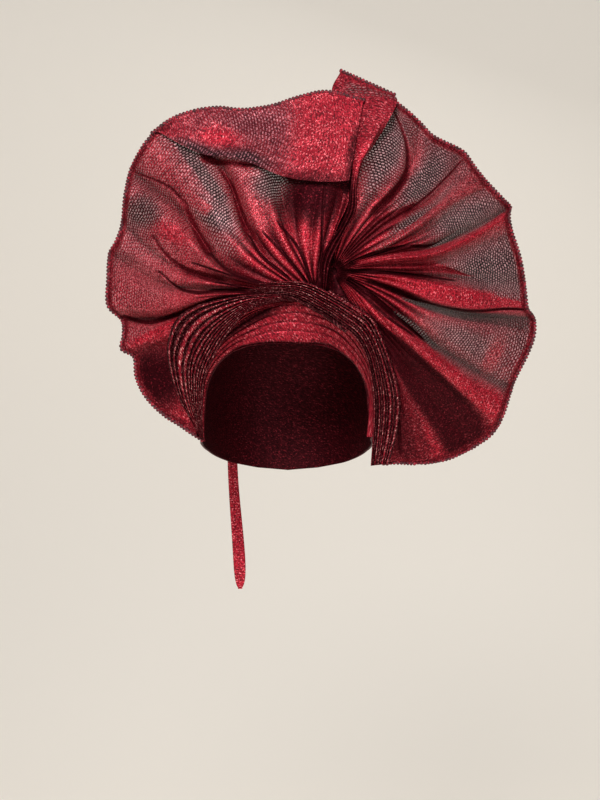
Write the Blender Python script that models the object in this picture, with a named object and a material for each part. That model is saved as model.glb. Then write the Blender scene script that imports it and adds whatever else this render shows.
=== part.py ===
"""Tied head tie of pleated metallic net, built as separate closed pieces that touch across small gaps.

The head faces -Y and +Z is up. The origin lies in the middle of the head opening at the height of the ears.
Shapes are drawn flat, as seen from the front, and each point is then moved to its own depth along the
line of sight, so the outline keeps its place from the front.
"""
import math

import bpy
import numpy as np

# Plain colours, red, green and blue, and how rough the cloth is.
CLOTH_ROUGHNESS = 0.45
BRIGHT_CLOTH = (0.45, 0.012, 0.035)
DEEP_CLOTH = (0.20, 0.006, 0.018)

# The widest edge angle that is still shaded as part of one round surface.
SMOOTH_ANGLE = math.radians(40.0)

# Lengths are in metres.
FAN_REACH = 0.174
KNOT_DEPTH = 0.100
FOLD_HEIGHT = 0.008
CLOTH_DEPTH = 0.0018
FOLD_START = 0.080
RIM_EASE = 0.070

# Where the two sets of pleats gather, measured from the origin in the flat front view.
RIGHT_GATHER_X = 0.0395
RIGHT_GATHER_Z = 0.1505
LEFT_GATHER_X = 0.0275
LEFT_GATHER_Z = 0.1260

# The head that holds the tie up, as a rounded form.
HEAD_HALF_WIDTH = 0.076
HEAD_HALF_LENGTH = 0.095
HEAD_WIDEST_Z = 0.015
HEAD_CROWN = 0.103
HEAD_BELOW = 0.130
HEAD_ROUNDNESS = 2.4
CAP_WALL = 0.0020
CAP_ROWS = 8
CAP_RIM_GROWTH = 4.0

BAND_GAP = 0.0001
BAND_LAPS = 5
BAND_LAP_STEP = 0.0016
BAND_ROWS = 30
BAND_SEAT_ROUNDS = 6

WRAP_PLEATS = 8
WRAP_PLEAT_HEIGHT = 0.0016
WRAP_ROWS = 15

KNOT_HALF_DEPTH = 0.0040
KNOT_FRONT = 0.1069
KNOT_FLUTES = 7
KNOT_FLUTE_DEPTH = 0.0007
KNOT_TURN = 1.4
KNOT_SIDES = 28
KNOT_ROWS = 13

STRAP_WIDTH = 0.0120
STRAP_DEPTH = 0.0014
STRAP_GAP = 0.0002
STRAP_TURN = 214.0
STRAP_TOP_Z = -0.0080
STRAP_LENGTH = 0.1340
STRAP_SWAY = 0.0075
STRAP_ROWS = 14
STRAP_LEAN = 0.85

# The place the outline is seen from, and the depth where flat shapes are drawn at their true size.
SIGHT_X = 0.0117
SIGHT_Z = 0.0390
SIGHT_DISTANCE = 1.300
OUTLINE_PLANE = -0.050

FAN_ROWS = 12
TOP_FOLD_ROWS = 7
CREST_COLUMNS = 5

# Radii, as shares of the fan reach, where a fold gives its angle; its last angle is at its own rim.
ANGLE_STATIONS = (0.10, 0.30, 0.50, 0.70)
SHOULDER_STATION = 0.20
MIDDLE_STATION = 0.50

# One row for each fold line, from the top of the fan round to its lower end.
# Columns: height (1 is a full ridge, -1 a full groove, share of FOLD_HEIGHT), reach (share of FAN_REACH),
# angle in degrees at the four stations and at the rim, then how far forward the fold lies at the
# middle station and at the rim (shares of KNOT_DEPTH).
RIGHT_FOLDS = (
    (0.0, 0.900, 80.0, 75.0, 77.5, 76.0, 74.0, 0.86, 0.57),
    (-0.4, 0.905, 73.0, 71.0, 72.0, 70.5, 70.0, 0.87, 0.57),
    (0.5, 0.893, 62.0, 59.0, 55.5, 60.0, 66.5, 0.88, 0.56),
    (-0.3, 0.867, 57.0, 54.0, 51.0, 54.0, 60.0, 0.87, 0.555),
    (0.25, 0.845, 52.0, 49.0, 45.0, 47.5, 54.0, 0.88, 0.55),
    (-0.1, 0.860, 48.0, 45.0, 41.0, 43.0, 48.5, 0.88, 0.54),
    (-0.6, 0.889, 43.0, 41.0, 36.5, 38.0, 42.5, 0.88, 0.53),
    (0.0, 0.885, 38.0, 35.0, 32.0, 35.5, 38.0, 0.89, 0.52),
    (0.7, 0.886, 30.0, 26.5, 28.5, 32.5, 34.0, 0.90, 0.51),
    (-0.3, 0.898, 26.0, 22.5, 22.5, 27.0, 29.0, 0.89, 0.49),
    (0.15, 0.925, 22.0, 19.5, 18.0, 22.0, 23.5, 0.89, 0.47),
    (-0.9, 0.947, 19.5, 17.0, 13.8, 16.5, 20.0, 0.88, 0.455),
    (1.0, 0.925, 16.0, 12.5, 10.0, 13.5, 17.0, 0.91, 0.45),
    (-0.2, 0.923, 12.0, 8.5, 6.5, 9.0, 11.0, 0.89, 0.43),
    (0.15, 0.943, 8.0, 4.0, 3.0, 4.0, 4.0, 0.89, 0.42),
    (-0.8, 0.961, 2.0, -1.0, -2.5, -3.0, -2.8, 0.88, 0.40),
    (0.8, 0.975, -3.5, -5.5, -7.0, -8.5, -7.0, 0.91, 0.39),
    (0.75, 0.995, -8.0, -11.0, -15.0, -14.5, -10.8, 0.905, 0.385),
    (-0.9, 1.037, -13.0, -16.5, -19.5, -17.5, -13.2, 0.88, 0.37),
    (0.4, 1.060, -17.0, -20.0, -23.0, -22.0, -18.5, 0.89, 0.36),
    (0.3, 1.057, -21.5, -25.5, -29.5, -30.0, -28.0, 0.885, 0.34),
    (-0.9, 1.072, -26.0, -31.5, -36.0, -35.5, -33.5, 0.86, 0.32),
    (1.0, 1.113, -33.0, -38.5, -41.5, -41.0, -39.8, 0.875, 0.30),
    (-0.3, 1.136, -38.0, -46.5, -47.5, -46.0, -44.5, 0.86, 0.30),
    (-0.8, 1.125, -42.0, -50.0, -52.0, -52.0, -51.5, 0.84, 0.32),
    (-0.2, 1.092, -47.0, -53.0, -55.5, -58.0, -60.0, 0.82, 0.35),
    (-0.6, 1.045, -51.0, -55.0, -57.5, -62.5, -66.5, 0.79, 0.39),
    (0.0, 1.010, -55.0, -57.0, -59.0, -66.0, -71.0, 0.765, 0.42),
    (-0.2, 0.996, -58.0, -59.0, -60.5, -69.0, -75.0, 0.75, 0.44),
)

LEFT_FOLDS = (
    (0.0, 0.980, 68.0, 76.0, 73.0, 75.5, 80.0, 0.88, 0.56),
    (-0.2, 0.995, 84.0, 79.0, 76.5, 79.0, 83.0, 0.88, 0.56),
    (0.5, 1.020, 98.0, 90.0, 85.0, 86.0, 88.0, 0.89, 0.56),
    (0.35, 1.012, 106.0, 103.0, 98.0, 96.0, 96.0, 0.88, 0.56),
    (-0.5, 0.985, 110.5, 112.5, 110.0, 106.0, 104.5, 0.86, 0.555),
    (0.45, 1.020, 118.0, 120.0, 117.0, 114.0, 112.5, 0.88, 0.55),
    (0.5, 1.085, 130.0, 132.0, 128.0, 123.0, 119.5, 0.88, 0.545),
    (-0.8, 1.148, 141.0, 141.0, 134.8, 127.8, 126.5, 0.86, 0.53),
    (0.1, 1.170, 147.0, 146.0, 140.0, 133.0, 131.5, 0.88, 0.52),
    (0.45, 1.165, 153.0, 151.0, 147.0, 141.0, 138.0, 0.89, 0.50),
    (-0.8, 1.140, 162.0, 162.5, 160.5, 150.5, 145.3, 0.87, 0.47),
    (0.8, 1.097, 165.0, 165.0, 163.5, 156.5, 151.5, 0.90, 0.45),
    (-0.6, 1.052, 168.0, 167.5, 168.5, 167.5, 158.5, 0.88, 0.43),
    (0.1, 1.050, 170.0, 170.0, 171.0, 171.5, 163.5, 0.88, 0.42),
    (-0.7, 1.067, 172.0, 172.5, 174.5, 175.0, 167.5, 0.87, 0.41),
    (0.7, 1.055, 174.0, 174.0, 177.0, 178.5, 174.5, 0.90, 0.39),
    (0.6, 1.050, 175.5, 175.5, 178.5, 182.5, 181.5, 0.89, 0.38),
    (-1.0, 0.985, 177.0, 177.5, 180.3, 186.0, 185.8, 0.86, 0.37),
    (0.4, 0.990, 178.3, 179.2, 182.3, 188.5, 190.5, 0.86, 0.38),
    (0.3, 1.012, 179.5, 180.8, 184.5, 191.5, 194.0, 0.85, 0.39),
    (-0.5, 0.963, 180.5, 182.2, 187.0, 195.0, 197.2, 0.84, 0.41),
    (-0.4, 0.987, 181.5, 183.8, 189.5, 199.0, 203.0, 0.83, 0.42),
    (0.3, 0.987, 182.5, 185.3, 192.0, 202.5, 209.5, 0.82, 0.44),
    (0.4, 0.960, 183.5, 186.8, 194.5, 206.0, 217.0, 0.81, 0.47),
    (-0.2, 0.935, 184.5, 188.3, 197.5, 208.5, 221.5, 0.81, 0.52),
    (-0.4, 0.920, 185.5, 190.0, 200.0, 211.0, 226.0, 0.80, 0.56),
)

# Where each fan starts, and how far forward it lies there and at its shoulder (shares of KNOT_DEPTH).
RIGHT_ROOT_RADIUS = 0.0045
RIGHT_ROOT_FRONT = 0.90
RIGHT_SHOULDER_FRONT = 0.97
LEFT_ROOT_RADIUS = 0.0100
LEFT_ROOT_FRONT = 0.95
LEFT_SHOULDER_FRONT = 0.965

# Forehead band from the left ear over the forehead to the right ear.
# Columns: edge at the face x, z and outer edge x, z (shares of FAN_REACH), outer edge forward
# (share of KNOT_DEPTH). The edge at the face takes its depth from the head form.
BAND = (
    (-0.410, 0.040, -0.450, 0.040, 0.53),
    (-0.410, 0.165, -0.455, 0.165, 0.53),
    (-0.400, 0.275, -0.450, 0.285, 0.54),
    (-0.380, 0.350, -0.430, 0.385, 0.57),
    (-0.330, 0.420, -0.380, 0.475, 0.64),
    (-0.255, 0.480, -0.300, 0.560, 0.72),
    (-0.160, 0.505, -0.200, 0.630, 0.80),
    (-0.050, 0.515, -0.070, 0.690, 0.86),
    (0.090, 0.510, 0.080, 0.710, 0.89),
    (0.210, 0.500, 0.220, 0.675, 0.875),
    (0.285, 0.455, 0.320, 0.590, 0.816),
    (0.350, 0.390, 0.390, 0.485, 0.716),
    (0.390, 0.315, 0.435, 0.375, 0.626),
    (0.410, 0.240, 0.455, 0.250, 0.575),
    (0.410, 0.150, 0.455, 0.150, 0.55),
    (0.400, 0.040, 0.440, 0.040, 0.54),
)

# Wraps of fine pleats from the knot down to each ear.
# Columns: outer edge x, z and inner edge x, z (shares of FAN_REACH), forward (share of KNOT_DEPTH).
LEFT_WRAP = (
    (0.060, 0.735, 0.075, 0.690, 1.015),
    (-0.040, 0.740, -0.040, 0.690, 1.015),
    (-0.240, 0.740, -0.180, 0.635, 1.005),
    (-0.440, 0.700, -0.300, 0.530, 0.95),
    (-0.545, 0.635, -0.365, 0.430, 0.87),
    (-0.590, 0.535, -0.400, 0.350, 0.81),
    (-0.595, 0.435, -0.415, 0.270, 0.75),
    (-0.550, 0.260, -0.420, 0.150, 0.66),
    (-0.440, 0.050, -0.415, 0.020, 0.575),
)
RIGHT_WRAP = (
    (0.215, 0.775, 0.160, 0.710, 1.01),
    (0.290, 0.735, 0.190, 0.635, 1.01),
    (0.365, 0.685, 0.275, 0.590, 1.005),
    (0.440, 0.625, 0.345, 0.530, 0.975),
    (0.505, 0.475, 0.395, 0.445, 0.88),
    (0.550, 0.335, 0.420, 0.335, 0.77),
    (0.570, 0.215, 0.435, 0.205, 0.675),
    (0.555, 0.065, 0.430, 0.045, 0.595),
    (0.510, -0.095, 0.420, -0.105, 0.563),
)

# Doubled cloth folded over the top of the left fan, from its left tip to the crest.
# Columns: top edge x, z and lower edge x, z (shares of FAN_REACH), top and lower edge forward
# (shares of KNOT_DEPTH).
TOP_FOLD = (
    (-0.672, 1.560, -0.648, 1.570, 0.560, 0.565),
    (-0.572, 1.630, -0.528, 1.500, 0.575, 0.660),
    (-0.458, 1.670, -0.408, 1.435, 0.590, 0.740),
    (-0.342, 1.685, -0.292, 1.395, 0.600, 0.810),
    (-0.218, 1.675, -0.178, 1.395, 0.610, 0.850),
    (-0.072, 1.695, -0.042, 1.350, 0.620, 0.900),
    (0.068, 1.740, 0.068, 1.325, 0.630, 0.930),
    (0.208, 1.765, 0.192, 1.315, 0.660, 0.950),
    (0.333, 1.735, 0.308, 1.320, 0.720, 0.970),
)

# Standing folded end between the two fans, from the knot up to its top edge.
# Columns: left edge x, z and right edge x, z (shares of FAN_REACH), left and right edge forward
# (shares of KNOT_DEPTH).
CREST = (
    (0.172, 0.775, 0.198, 0.775, 1.030, 1.030),
    (0.165, 0.905, 0.222, 0.905, 1.030, 1.030),
    (0.198, 1.000, 0.264, 0.995, 1.025, 1.020),
    (0.250, 1.070, 0.306, 1.080, 1.010, 1.010),
    (0.298, 1.175, 0.352, 1.175, 0.985, 0.990),
    (0.312, 1.275, 0.355, 1.295, 0.960, 0.970),
    (0.318, 1.385, 0.382, 1.415, 0.910, 0.945),
    (0.318, 1.485, 0.438, 1.500, 0.840, 0.905),
    (0.292, 1.600, 0.498, 1.600, 0.740, 0.845),
    (0.226, 1.760, 0.552, 1.710, 0.640, 0.760),
    (0.272, 1.870, 0.538, 1.750, 0.580, 0.700),
)
CREST_BOW = 0.004

# Knot bundle from the left pleats to the right ones.
# Columns: x, z of its middle and its half width (shares of FAN_REACH).
KNOT = (
    (0.070, 0.815, 0.040),
    (0.100, 0.785, 0.062),
    (0.140, 0.755, 0.058),
    (0.180, 0.725, 0.052),
    (0.220, 0.690, 0.058),
    (0.265, 0.655, 0.062),
    (0.300, 0.625, 0.040),
)

# Lower rim of the cap from the middle of the forehead round one side to the nape.
# Columns: turn from the front in degrees, height (share of HEAD_CROWN).
CAP_RIM = (
    (0.0, 0.849),
    (12.0, 0.844),
    (24.0, 0.827),
    (36.0, 0.780),
    (47.0, 0.690),
    (55.0, 0.570),
    (59.0, 0.430),
    (60.0, 0.290),
    (60.5, 0.150),
    (63.0, 0.050),
    (74.0, 0.010),
    (88.0, -0.010),
    (102.0, -0.040),
    (116.0, -0.080),
    (130.0, -0.140),
    (144.0, -0.200),
    (162.0, -0.255),
    (180.0, -0.280),
)


def curve_through(marks, values, places):
    """Smooth curve through the values at the marks, read at the places."""
    marks = np.asarray(marks, dtype=float)
    values = np.asarray(values, dtype=float)
    places = np.asarray(places, dtype=float)
    slopes = np.gradient(values, marks)
    piece = np.clip(np.searchsorted(marks, places, side="right") - 1, 0, len(marks) - 2)
    width = marks[piece + 1] - marks[piece]
    part = np.clip((places - marks[piece]) / width, 0.0, 1.0)
    start_weight = 2.0 * part**3 - 3.0 * part**2 + 1.0
    start_slope_weight = part**3 - 2.0 * part**2 + part
    end_slope_weight = part**3 - part**2
    curve = start_weight * values[piece]
    curve += start_slope_weight * width * slopes[piece]
    curve += (1.0 - start_weight) * values[piece + 1]
    curve += end_slope_weight * width * slopes[piece + 1]
    return curve


def ease(value):
    """Share that leaves 0 and reaches 1 without a corner."""
    share = np.clip(value, 0.0, 1.0)
    return share * share * (3.0 - 2.0 * share)


def at_depth(flat_x, flat_z, front):
    """Points of a flat front view moved to their own depth along the line of sight."""
    depth = -np.asarray(front, dtype=float)
    spread = (SIGHT_DISTANCE + depth) / (SIGHT_DISTANCE + OUTLINE_PLANE)
    x = SIGHT_X + (flat_x - SIGHT_X) * spread
    z = SIGHT_Z + (flat_z - SIGHT_Z) * spread
    return np.stack((x, depth, z), axis=-1)


def head_front(x, z, clearance):
    """How far forward the head form lies, grown by a clearance, above a point of the front view."""
    half_width = HEAD_HALF_WIDTH + clearance
    half_length = HEAD_HALF_LENGTH + clearance
    crown = HEAD_CROWN + clearance
    side_share = np.abs(x / half_width) ** HEAD_ROUNDNESS
    height_share = np.abs(np.maximum(z - HEAD_WIDEST_Z, 0.0) / crown) ** HEAD_ROUNDNESS
    rest = np.maximum(1.0 - side_share - height_share, 0.0)
    return half_length * rest ** (1.0 / HEAD_ROUNDNESS)


def head_radius(turn, z, wall):
    """Distance from the upright axis to the head form grown by a wall, at a turn from the front."""
    above = np.maximum(z - HEAD_WIDEST_Z, 0.0) / HEAD_CROWN
    below = np.maximum(HEAD_WIDEST_Z - z, 0.0) / HEAD_BELOW
    level = np.maximum(1.0 - above**HEAD_ROUNDNESS - below**HEAD_ROUNDNESS, 0.0)
    side = np.abs(np.sin(turn) / (HEAD_HALF_WIDTH + wall)) ** HEAD_ROUNDNESS
    ahead = np.abs(np.cos(turn) / (HEAD_HALF_LENGTH + wall)) ** HEAD_ROUNDNESS
    return (level / (side + ahead)) ** (1.0 / HEAD_ROUNDNESS)


def fan_points(folds, gather_x, gather_z, root_radius, root_front, shoulder_front):
    """Grid of points over a fan: columns along its fold lines and halfway between them."""
    shares = np.linspace(0.0, 1.0, FAN_ROWS)
    angles = []
    radii = []
    fronts = []
    for height, reach, *stations in folds:
        rim_radius = reach * FAN_REACH
        radius = root_radius + (rim_radius - root_radius) * shares
        radius_share = radius / FAN_REACH
        angle_marks = (*ANGLE_STATIONS, reach)
        angle = curve_through(angle_marks, stations[:5], radius_share)
        front_marks = (root_radius / FAN_REACH, SHOULDER_STATION, MIDDLE_STATION, reach)
        front_values = (root_front, shoulder_front, stations[5], stations[6])
        front = KNOT_DEPTH * curve_through(front_marks, front_values, radius_share)
        growth = ease((radius - root_radius) / FOLD_START)
        settling = 1.0 - 0.3 * ease((radius - rim_radius + RIM_EASE) / RIM_EASE)
        front += height * FOLD_HEIGHT * growth * settling
        angles.append(angle)
        radii.append(radius)
        fronts.append(front)
    angle_grid = with_halfway(np.radians(angles))
    radius_grid = with_halfway(np.array(radii))
    front_grid = with_halfway(np.array(fronts))
    flat_x = gather_x + radius_grid * np.cos(angle_grid)
    flat_z = gather_z + radius_grid * np.sin(angle_grid)
    return at_depth(flat_x, flat_z, front_grid)


def with_halfway(rows):
    """The rows with one more halfway between each pair."""
    doubled = np.empty((2 * len(rows) - 1, rows.shape[1]))
    doubled[0::2] = rows
    doubled[1::2] = 0.5 * (rows[:-1] + rows[1:])
    return doubled


def read_table(table, count):
    """Columns of a table, each drawn as a smooth curve and read at a number of even places."""
    marks = np.linspace(0.0, 1.0, len(table))
    places = np.linspace(0.0, 1.0, count)
    columns = np.array(table).T
    return [curve_through(marks, column, places) for column in columns]


def band_points():
    """Grid of points over the forehead band: lapped pleats that follow the face opening."""
    face_x, face_z, outer_x, outer_z, outer_front = read_table(BAND, BAND_ROWS)
    face_front = np.zeros(BAND_ROWS)
    for _ in range(BAND_SEAT_ROUNDS):
        face = at_depth(face_x * FAN_REACH, face_z * FAN_REACH, face_front)
        face_front = head_front(face[:, 0], face[:, 2], CAP_WALL + BAND_GAP) + CLOTH_DEPTH
    columns = []
    for lap in range(BAND_LAPS):
        for end, rise in ((0.0, 0.0), (0.85, 1.0)):
            share = (lap + end) / BAND_LAPS
            flat_x = FAN_REACH * (face_x + (outer_x - face_x) * share)
            flat_z = FAN_REACH * (face_z + (outer_z - face_z) * share)
            front = face_front + (KNOT_DEPTH * outer_front - face_front) * share
            columns.append(at_depth(flat_x, flat_z, front + rise * BAND_LAP_STEP))
    flat_x = FAN_REACH * outer_x
    flat_z = FAN_REACH * outer_z
    columns.append(at_depth(flat_x, flat_z, KNOT_DEPTH * outer_front))
    return np.array(columns)


def wrap_points(table):
    """Grid of points over a wrap: pleats side by side from its outer to its inner edge."""
    outer_x, outer_z, inner_x, inner_z, front_share = read_table(table, WRAP_ROWS)
    swell = np.sin(np.pi * np.linspace(0.06, 0.94, WRAP_ROWS)) ** 0.5
    columns = []
    for step in range(2 * WRAP_PLEATS + 1):
        share = step / (2 * WRAP_PLEATS)
        flat_x = FAN_REACH * (outer_x + (inner_x - outer_x) * share)
        flat_z = FAN_REACH * (outer_z + (inner_z - outer_z) * share)
        ridge = 1.0 if step % 2 else -1.0
        front = KNOT_DEPTH * front_share + ridge * WRAP_PLEAT_HEIGHT * swell
        columns.append(at_depth(flat_x, flat_z, front))
    return np.array(columns)


def top_fold_points():
    """Grid of points over the fold that hangs from the top of the left fan."""
    table_columns = read_table(TOP_FOLD, 2 * len(TOP_FOLD) - 1)
    top_x, top_z, lower_x, lower_z, top_front, lower_front = table_columns
    columns = []
    for share in np.linspace(0.0, 1.0, TOP_FOLD_ROWS):
        flat_x = FAN_REACH * (top_x + (lower_x - top_x) * share)
        flat_z = FAN_REACH * (top_z + (lower_z - top_z) * share)
        front = KNOT_DEPTH * (top_front + (lower_front - top_front) * share)
        columns.append(at_depth(flat_x, flat_z, front))
    return np.array(columns)


def crest_points():
    """Grid of points over the standing crest, bowed forward between its edges."""
    table_columns = read_table(CREST, 2 * len(CREST) - 1)
    left_x, left_z, right_x, right_z, left_front, right_front = table_columns
    rise = np.linspace(0.0, 1.0, len(left_x))
    columns = []
    for share in np.linspace(0.0, 1.0, CREST_COLUMNS):
        bow = CREST_BOW * math.sin(math.pi * share) * rise**4
        flat_x = FAN_REACH * (left_x + (right_x - left_x) * share)
        flat_z = FAN_REACH * (left_z + (right_z - left_z) * share) + bow
        front = KNOT_DEPTH * (left_front + (right_front - left_front) * share)
        columns.append(at_depth(flat_x, flat_z, front))
    return np.array(columns)


def add_piece(name, points, faces, color):
    """Object from points and faces, with its faces turned outward and its own cloth material."""
    mesh = bpy.data.meshes.new(name)
    mesh.from_pydata([tuple(point) for point in points], [], faces)
    mesh.validate()
    corners = np.array(points)
    volume = 0.0
    for face in faces:
        first, second, third = corners[face[0]], corners[face[1]], corners[face[2]]
        volume += float(np.dot(first, np.cross(second, third)))
    if volume < 0.0:
        mesh.flip_normals()
    material = bpy.data.materials.new(name + "_cloth")
    material.use_nodes = True
    shader = material.node_tree.nodes["Principled BSDF"]
    shader.inputs["Base Color"].default_value = (*color, 1.0)
    shader.inputs["Roughness"].default_value = CLOTH_ROUGHNESS
    mesh.materials.append(material)
    mesh.shade_smooth()
    mesh.set_sharp_from_angle(angle=SMOOTH_ANGLE)
    piece = bpy.data.objects.new(name, mesh)
    bpy.context.scene.collection.objects.link(piece)
    return piece


def sheet_piece(name, front_points, depth, color):
    """Closed piece whose front is the grid of points and whose back is the same grid moved backward."""
    columns, rows, _ = front_points.shape
    back_points = front_points + np.array((0.0, depth, 0.0))
    points = np.concatenate((front_points.reshape(-1, 3), back_points.reshape(-1, 3)))
    back_start = columns * rows
    faces = []
    for column in range(columns - 1):
        for row in range(rows - 1):
            corner = column * rows + row
            across = corner + rows
            faces.append((corner, across, across + 1))
            faces.append((corner, across + 1, corner + 1))
            faces.append((back_start + corner, back_start + across + 1, back_start + across))
            faces.append((back_start + corner, back_start + corner + 1, back_start + across + 1))
    border = [column * rows for column in range(columns)]
    border += [(columns - 1) * rows + row for row in range(1, rows)]
    border += [column * rows + rows - 1 for column in range(columns - 2, -1, -1)]
    border += [row for row in range(rows - 2, 0, -1)]
    for here, there in zip(border, border[1:] + border[:1]):
        faces.append((here, back_start + here, back_start + there))
        faces.append((here, back_start + there, there))
    return add_piece(name, points, faces, color)


def ring_piece(name, rings, color):
    """Closed piece through a row of rings, with a point at the middle of each end."""
    rings = np.array(rings)
    count, sides, _ = rings.shape
    points = list(rings.reshape(-1, 3))
    points.append(rings[0].mean(axis=0))
    points.append(rings[-1].mean(axis=0))
    start_point = count * sides
    end_point = start_point + 1
    faces = []
    for side in range(sides):
        after = (side + 1) % sides
        faces.append((start_point, after, side))
        last = (count - 1) * sides
        faces.append((end_point, last + side, last + after))
        for ring in range(count - 1):
            here = ring * sides
            above = here + sides
            faces.append((here + side, here + after, above + after))
            faces.append((here + side, above + after, above + side))
    return add_piece(name, points, faces, color)


def cap_layer(wall):
    """Rows of points over the head form grown by the wall, from the cap rim up to the crown."""
    turns, heights = np.array(CAP_RIM).T
    turns = np.concatenate((turns, 360.0 - turns[-2:0:-1]))
    heights = np.concatenate((heights, heights[-2:0:-1]))
    even_turns = np.linspace(0.0, 360.0, len(turns), endpoint=False)
    layer = []
    for row in range(CAP_ROWS):
        share = row / CAP_ROWS
        turn = np.radians(turns + (even_turns - turns) * share**0.7)
        rim_z = heights * HEAD_CROWN
        top_z = HEAD_WIDEST_Z + HEAD_CROWN
        z = rim_z + (top_z - rim_z) * math.sin(share * math.pi / 2.0)
        radius = head_radius(turn, z, wall)
        above = np.maximum(z - HEAD_WIDEST_Z, 0.0) / HEAD_CROWN
        grown_z = z + wall * above * float(ease(CAP_RIM_GROWTH * share))
        layer.append(np.stack((radius * np.sin(turn), -radius * np.cos(turn), grown_z), axis=-1))
    return np.array(layer), HEAD_WIDEST_Z + HEAD_CROWN + wall


def cap_piece(color):
    """Closed shell of the cap between the head form and the same form grown by the wall."""
    inner, inner_top = cap_layer(0.0)
    outer, outer_top = cap_layer(CAP_WALL)
    rows, sides, _ = outer.shape
    points = list(outer.reshape(-1, 3)) + list(inner.reshape(-1, 3))
    points.append((0.0, 0.0, outer_top))
    points.append((0.0, 0.0, inner_top))
    inner_start = rows * sides
    outer_crown = 2 * inner_start
    inner_crown = outer_crown + 1
    faces = []
    for side in range(sides):
        after = (side + 1) % sides
        for row in range(rows - 1):
            here = row * sides
            above = here + sides
            faces.append((here + side, here + after, above + after))
            faces.append((here + side, above + after, above + side))
            low = inner_start + here
            high = inner_start + above
            faces.append((low + side, high + after, low + after))
            faces.append((low + side, high + side, high + after))
        last = (rows - 1) * sides
        faces.append((last + side, last + after, outer_crown))
        faces.append((inner_start + last + after, inner_start + last + side, inner_crown))
        faces.append((side, inner_start + after, after))
        faces.append((side, inner_start + side, inner_start + after))
    return add_piece("cap", points, faces, color)


def knot_piece(color):
    """Short flat bundle with twisted flutes that joins the left pleats to the right ones."""
    middle_x, middle_z, half_width = (FAN_REACH * column for column in read_table(KNOT, KNOT_ROWS))
    along_x = np.gradient(middle_x)
    along_z = np.gradient(middle_z)
    length = np.hypot(along_x, along_z)
    rings = []
    for row in range(KNOT_ROWS):
        fullness = math.sin(math.pi * (row + 0.8) / (KNOT_ROWS + 0.6)) ** 0.6
        twist = KNOT_TURN * row / (KNOT_ROWS - 1)
        ring = []
        for side in range(KNOT_SIDES):
            turn = 2.0 * math.pi * side / KNOT_SIDES
            flute = 1.0 + KNOT_FLUTE_DEPTH / KNOT_HALF_DEPTH * math.cos(KNOT_FLUTES * (turn + twist))
            across = half_width[row] * flute * math.cos(turn)
            front = KNOT_FRONT + KNOT_HALF_DEPTH * fullness * flute * math.sin(turn)
            flat_x = middle_x[row] + across * along_z[row] / length[row]
            flat_z = middle_z[row] - across * along_x[row] / length[row]
            ring.append(at_depth(flat_x, flat_z, front))
        rings.append(ring)
    return ring_piece("knot", rings, color)


def strap_piece(color):
    """Narrow strap that hangs from the back of the cap, rounded at its lower end."""
    turn = math.radians(STRAP_TURN)
    radius = float(head_radius(turn, STRAP_TOP_Z, CAP_WALL)) + STRAP_GAP + 0.5 * STRAP_DEPTH
    top_x = radius * math.sin(turn)
    top_y = -radius * math.cos(turn)
    rings = []
    for row in range(STRAP_ROWS):
        share = row / (STRAP_ROWS - 1)
        half = 0.5 * STRAP_WIDTH * math.sqrt(max(1.0 - share**14, 0.12))
        x = top_x + STRAP_SWAY * float(ease(share))
        z = STRAP_TOP_Z - STRAP_LENGTH * share
        lean = STRAP_LEAN * (1.0 - share**2)
        side_x = half * math.cos(lean)
        side_y = half * math.sin(lean)
        thick_x = -0.5 * STRAP_DEPTH * math.sin(lean)
        thick_y = 0.5 * STRAP_DEPTH * math.cos(lean)
        ring = []
        for across, through in ((-1.0, -1.0), (1.0, -1.0), (1.0, 1.0), (-1.0, 1.0)):
            ring.append((
                x + across * side_x + through * thick_x,
                top_y + across * side_y + through * thick_y,
                z,
            ))
        rings.append(ring)
    return ring_piece("nape_strap", rings, color)


for left_over in list(bpy.data.objects):
    bpy.data.objects.remove(left_over, do_unlink=True)

right_fan = fan_points(
    RIGHT_FOLDS,
    RIGHT_GATHER_X,
    RIGHT_GATHER_Z,
    RIGHT_ROOT_RADIUS,
    RIGHT_ROOT_FRONT,
    RIGHT_SHOULDER_FRONT,
)
left_fan = fan_points(
    LEFT_FOLDS,
    LEFT_GATHER_X,
    LEFT_GATHER_Z,
    LEFT_ROOT_RADIUS,
    LEFT_ROOT_FRONT,
    LEFT_SHOULDER_FRONT,
)
cap_piece(DEEP_CLOTH)
sheet_piece("forehead_band", band_points(), CLOTH_DEPTH, BRIGHT_CLOTH)
sheet_piece("left_wrap", wrap_points(LEFT_WRAP), CLOTH_DEPTH, DEEP_CLOTH)
sheet_piece("right_wrap", wrap_points(RIGHT_WRAP), CLOTH_DEPTH, DEEP_CLOTH)
sheet_piece("left_fan", left_fan, CLOTH_DEPTH, BRIGHT_CLOTH)
sheet_piece("right_fan", right_fan, CLOTH_DEPTH, BRIGHT_CLOTH)
sheet_piece("top_fold", top_fold_points(), CLOTH_DEPTH, BRIGHT_CLOTH)
sheet_piece("crest", crest_points(), CLOTH_DEPTH, BRIGHT_CLOTH)
knot_piece(DEEP_CLOTH)
strap_piece(DEEP_CLOTH)
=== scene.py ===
"""Looks of a tied head tie: pleated red and black metallic net, gathered at a knot above the forehead.

The pieces repeat the CAD solids' own curves with many more points, so each one lies where its solid lies.
Lengths are in metres, the head faces -Y and +Z is up.
"""
import math

import bmesh
import bpy
import numpy as np
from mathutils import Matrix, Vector, noise


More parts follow.
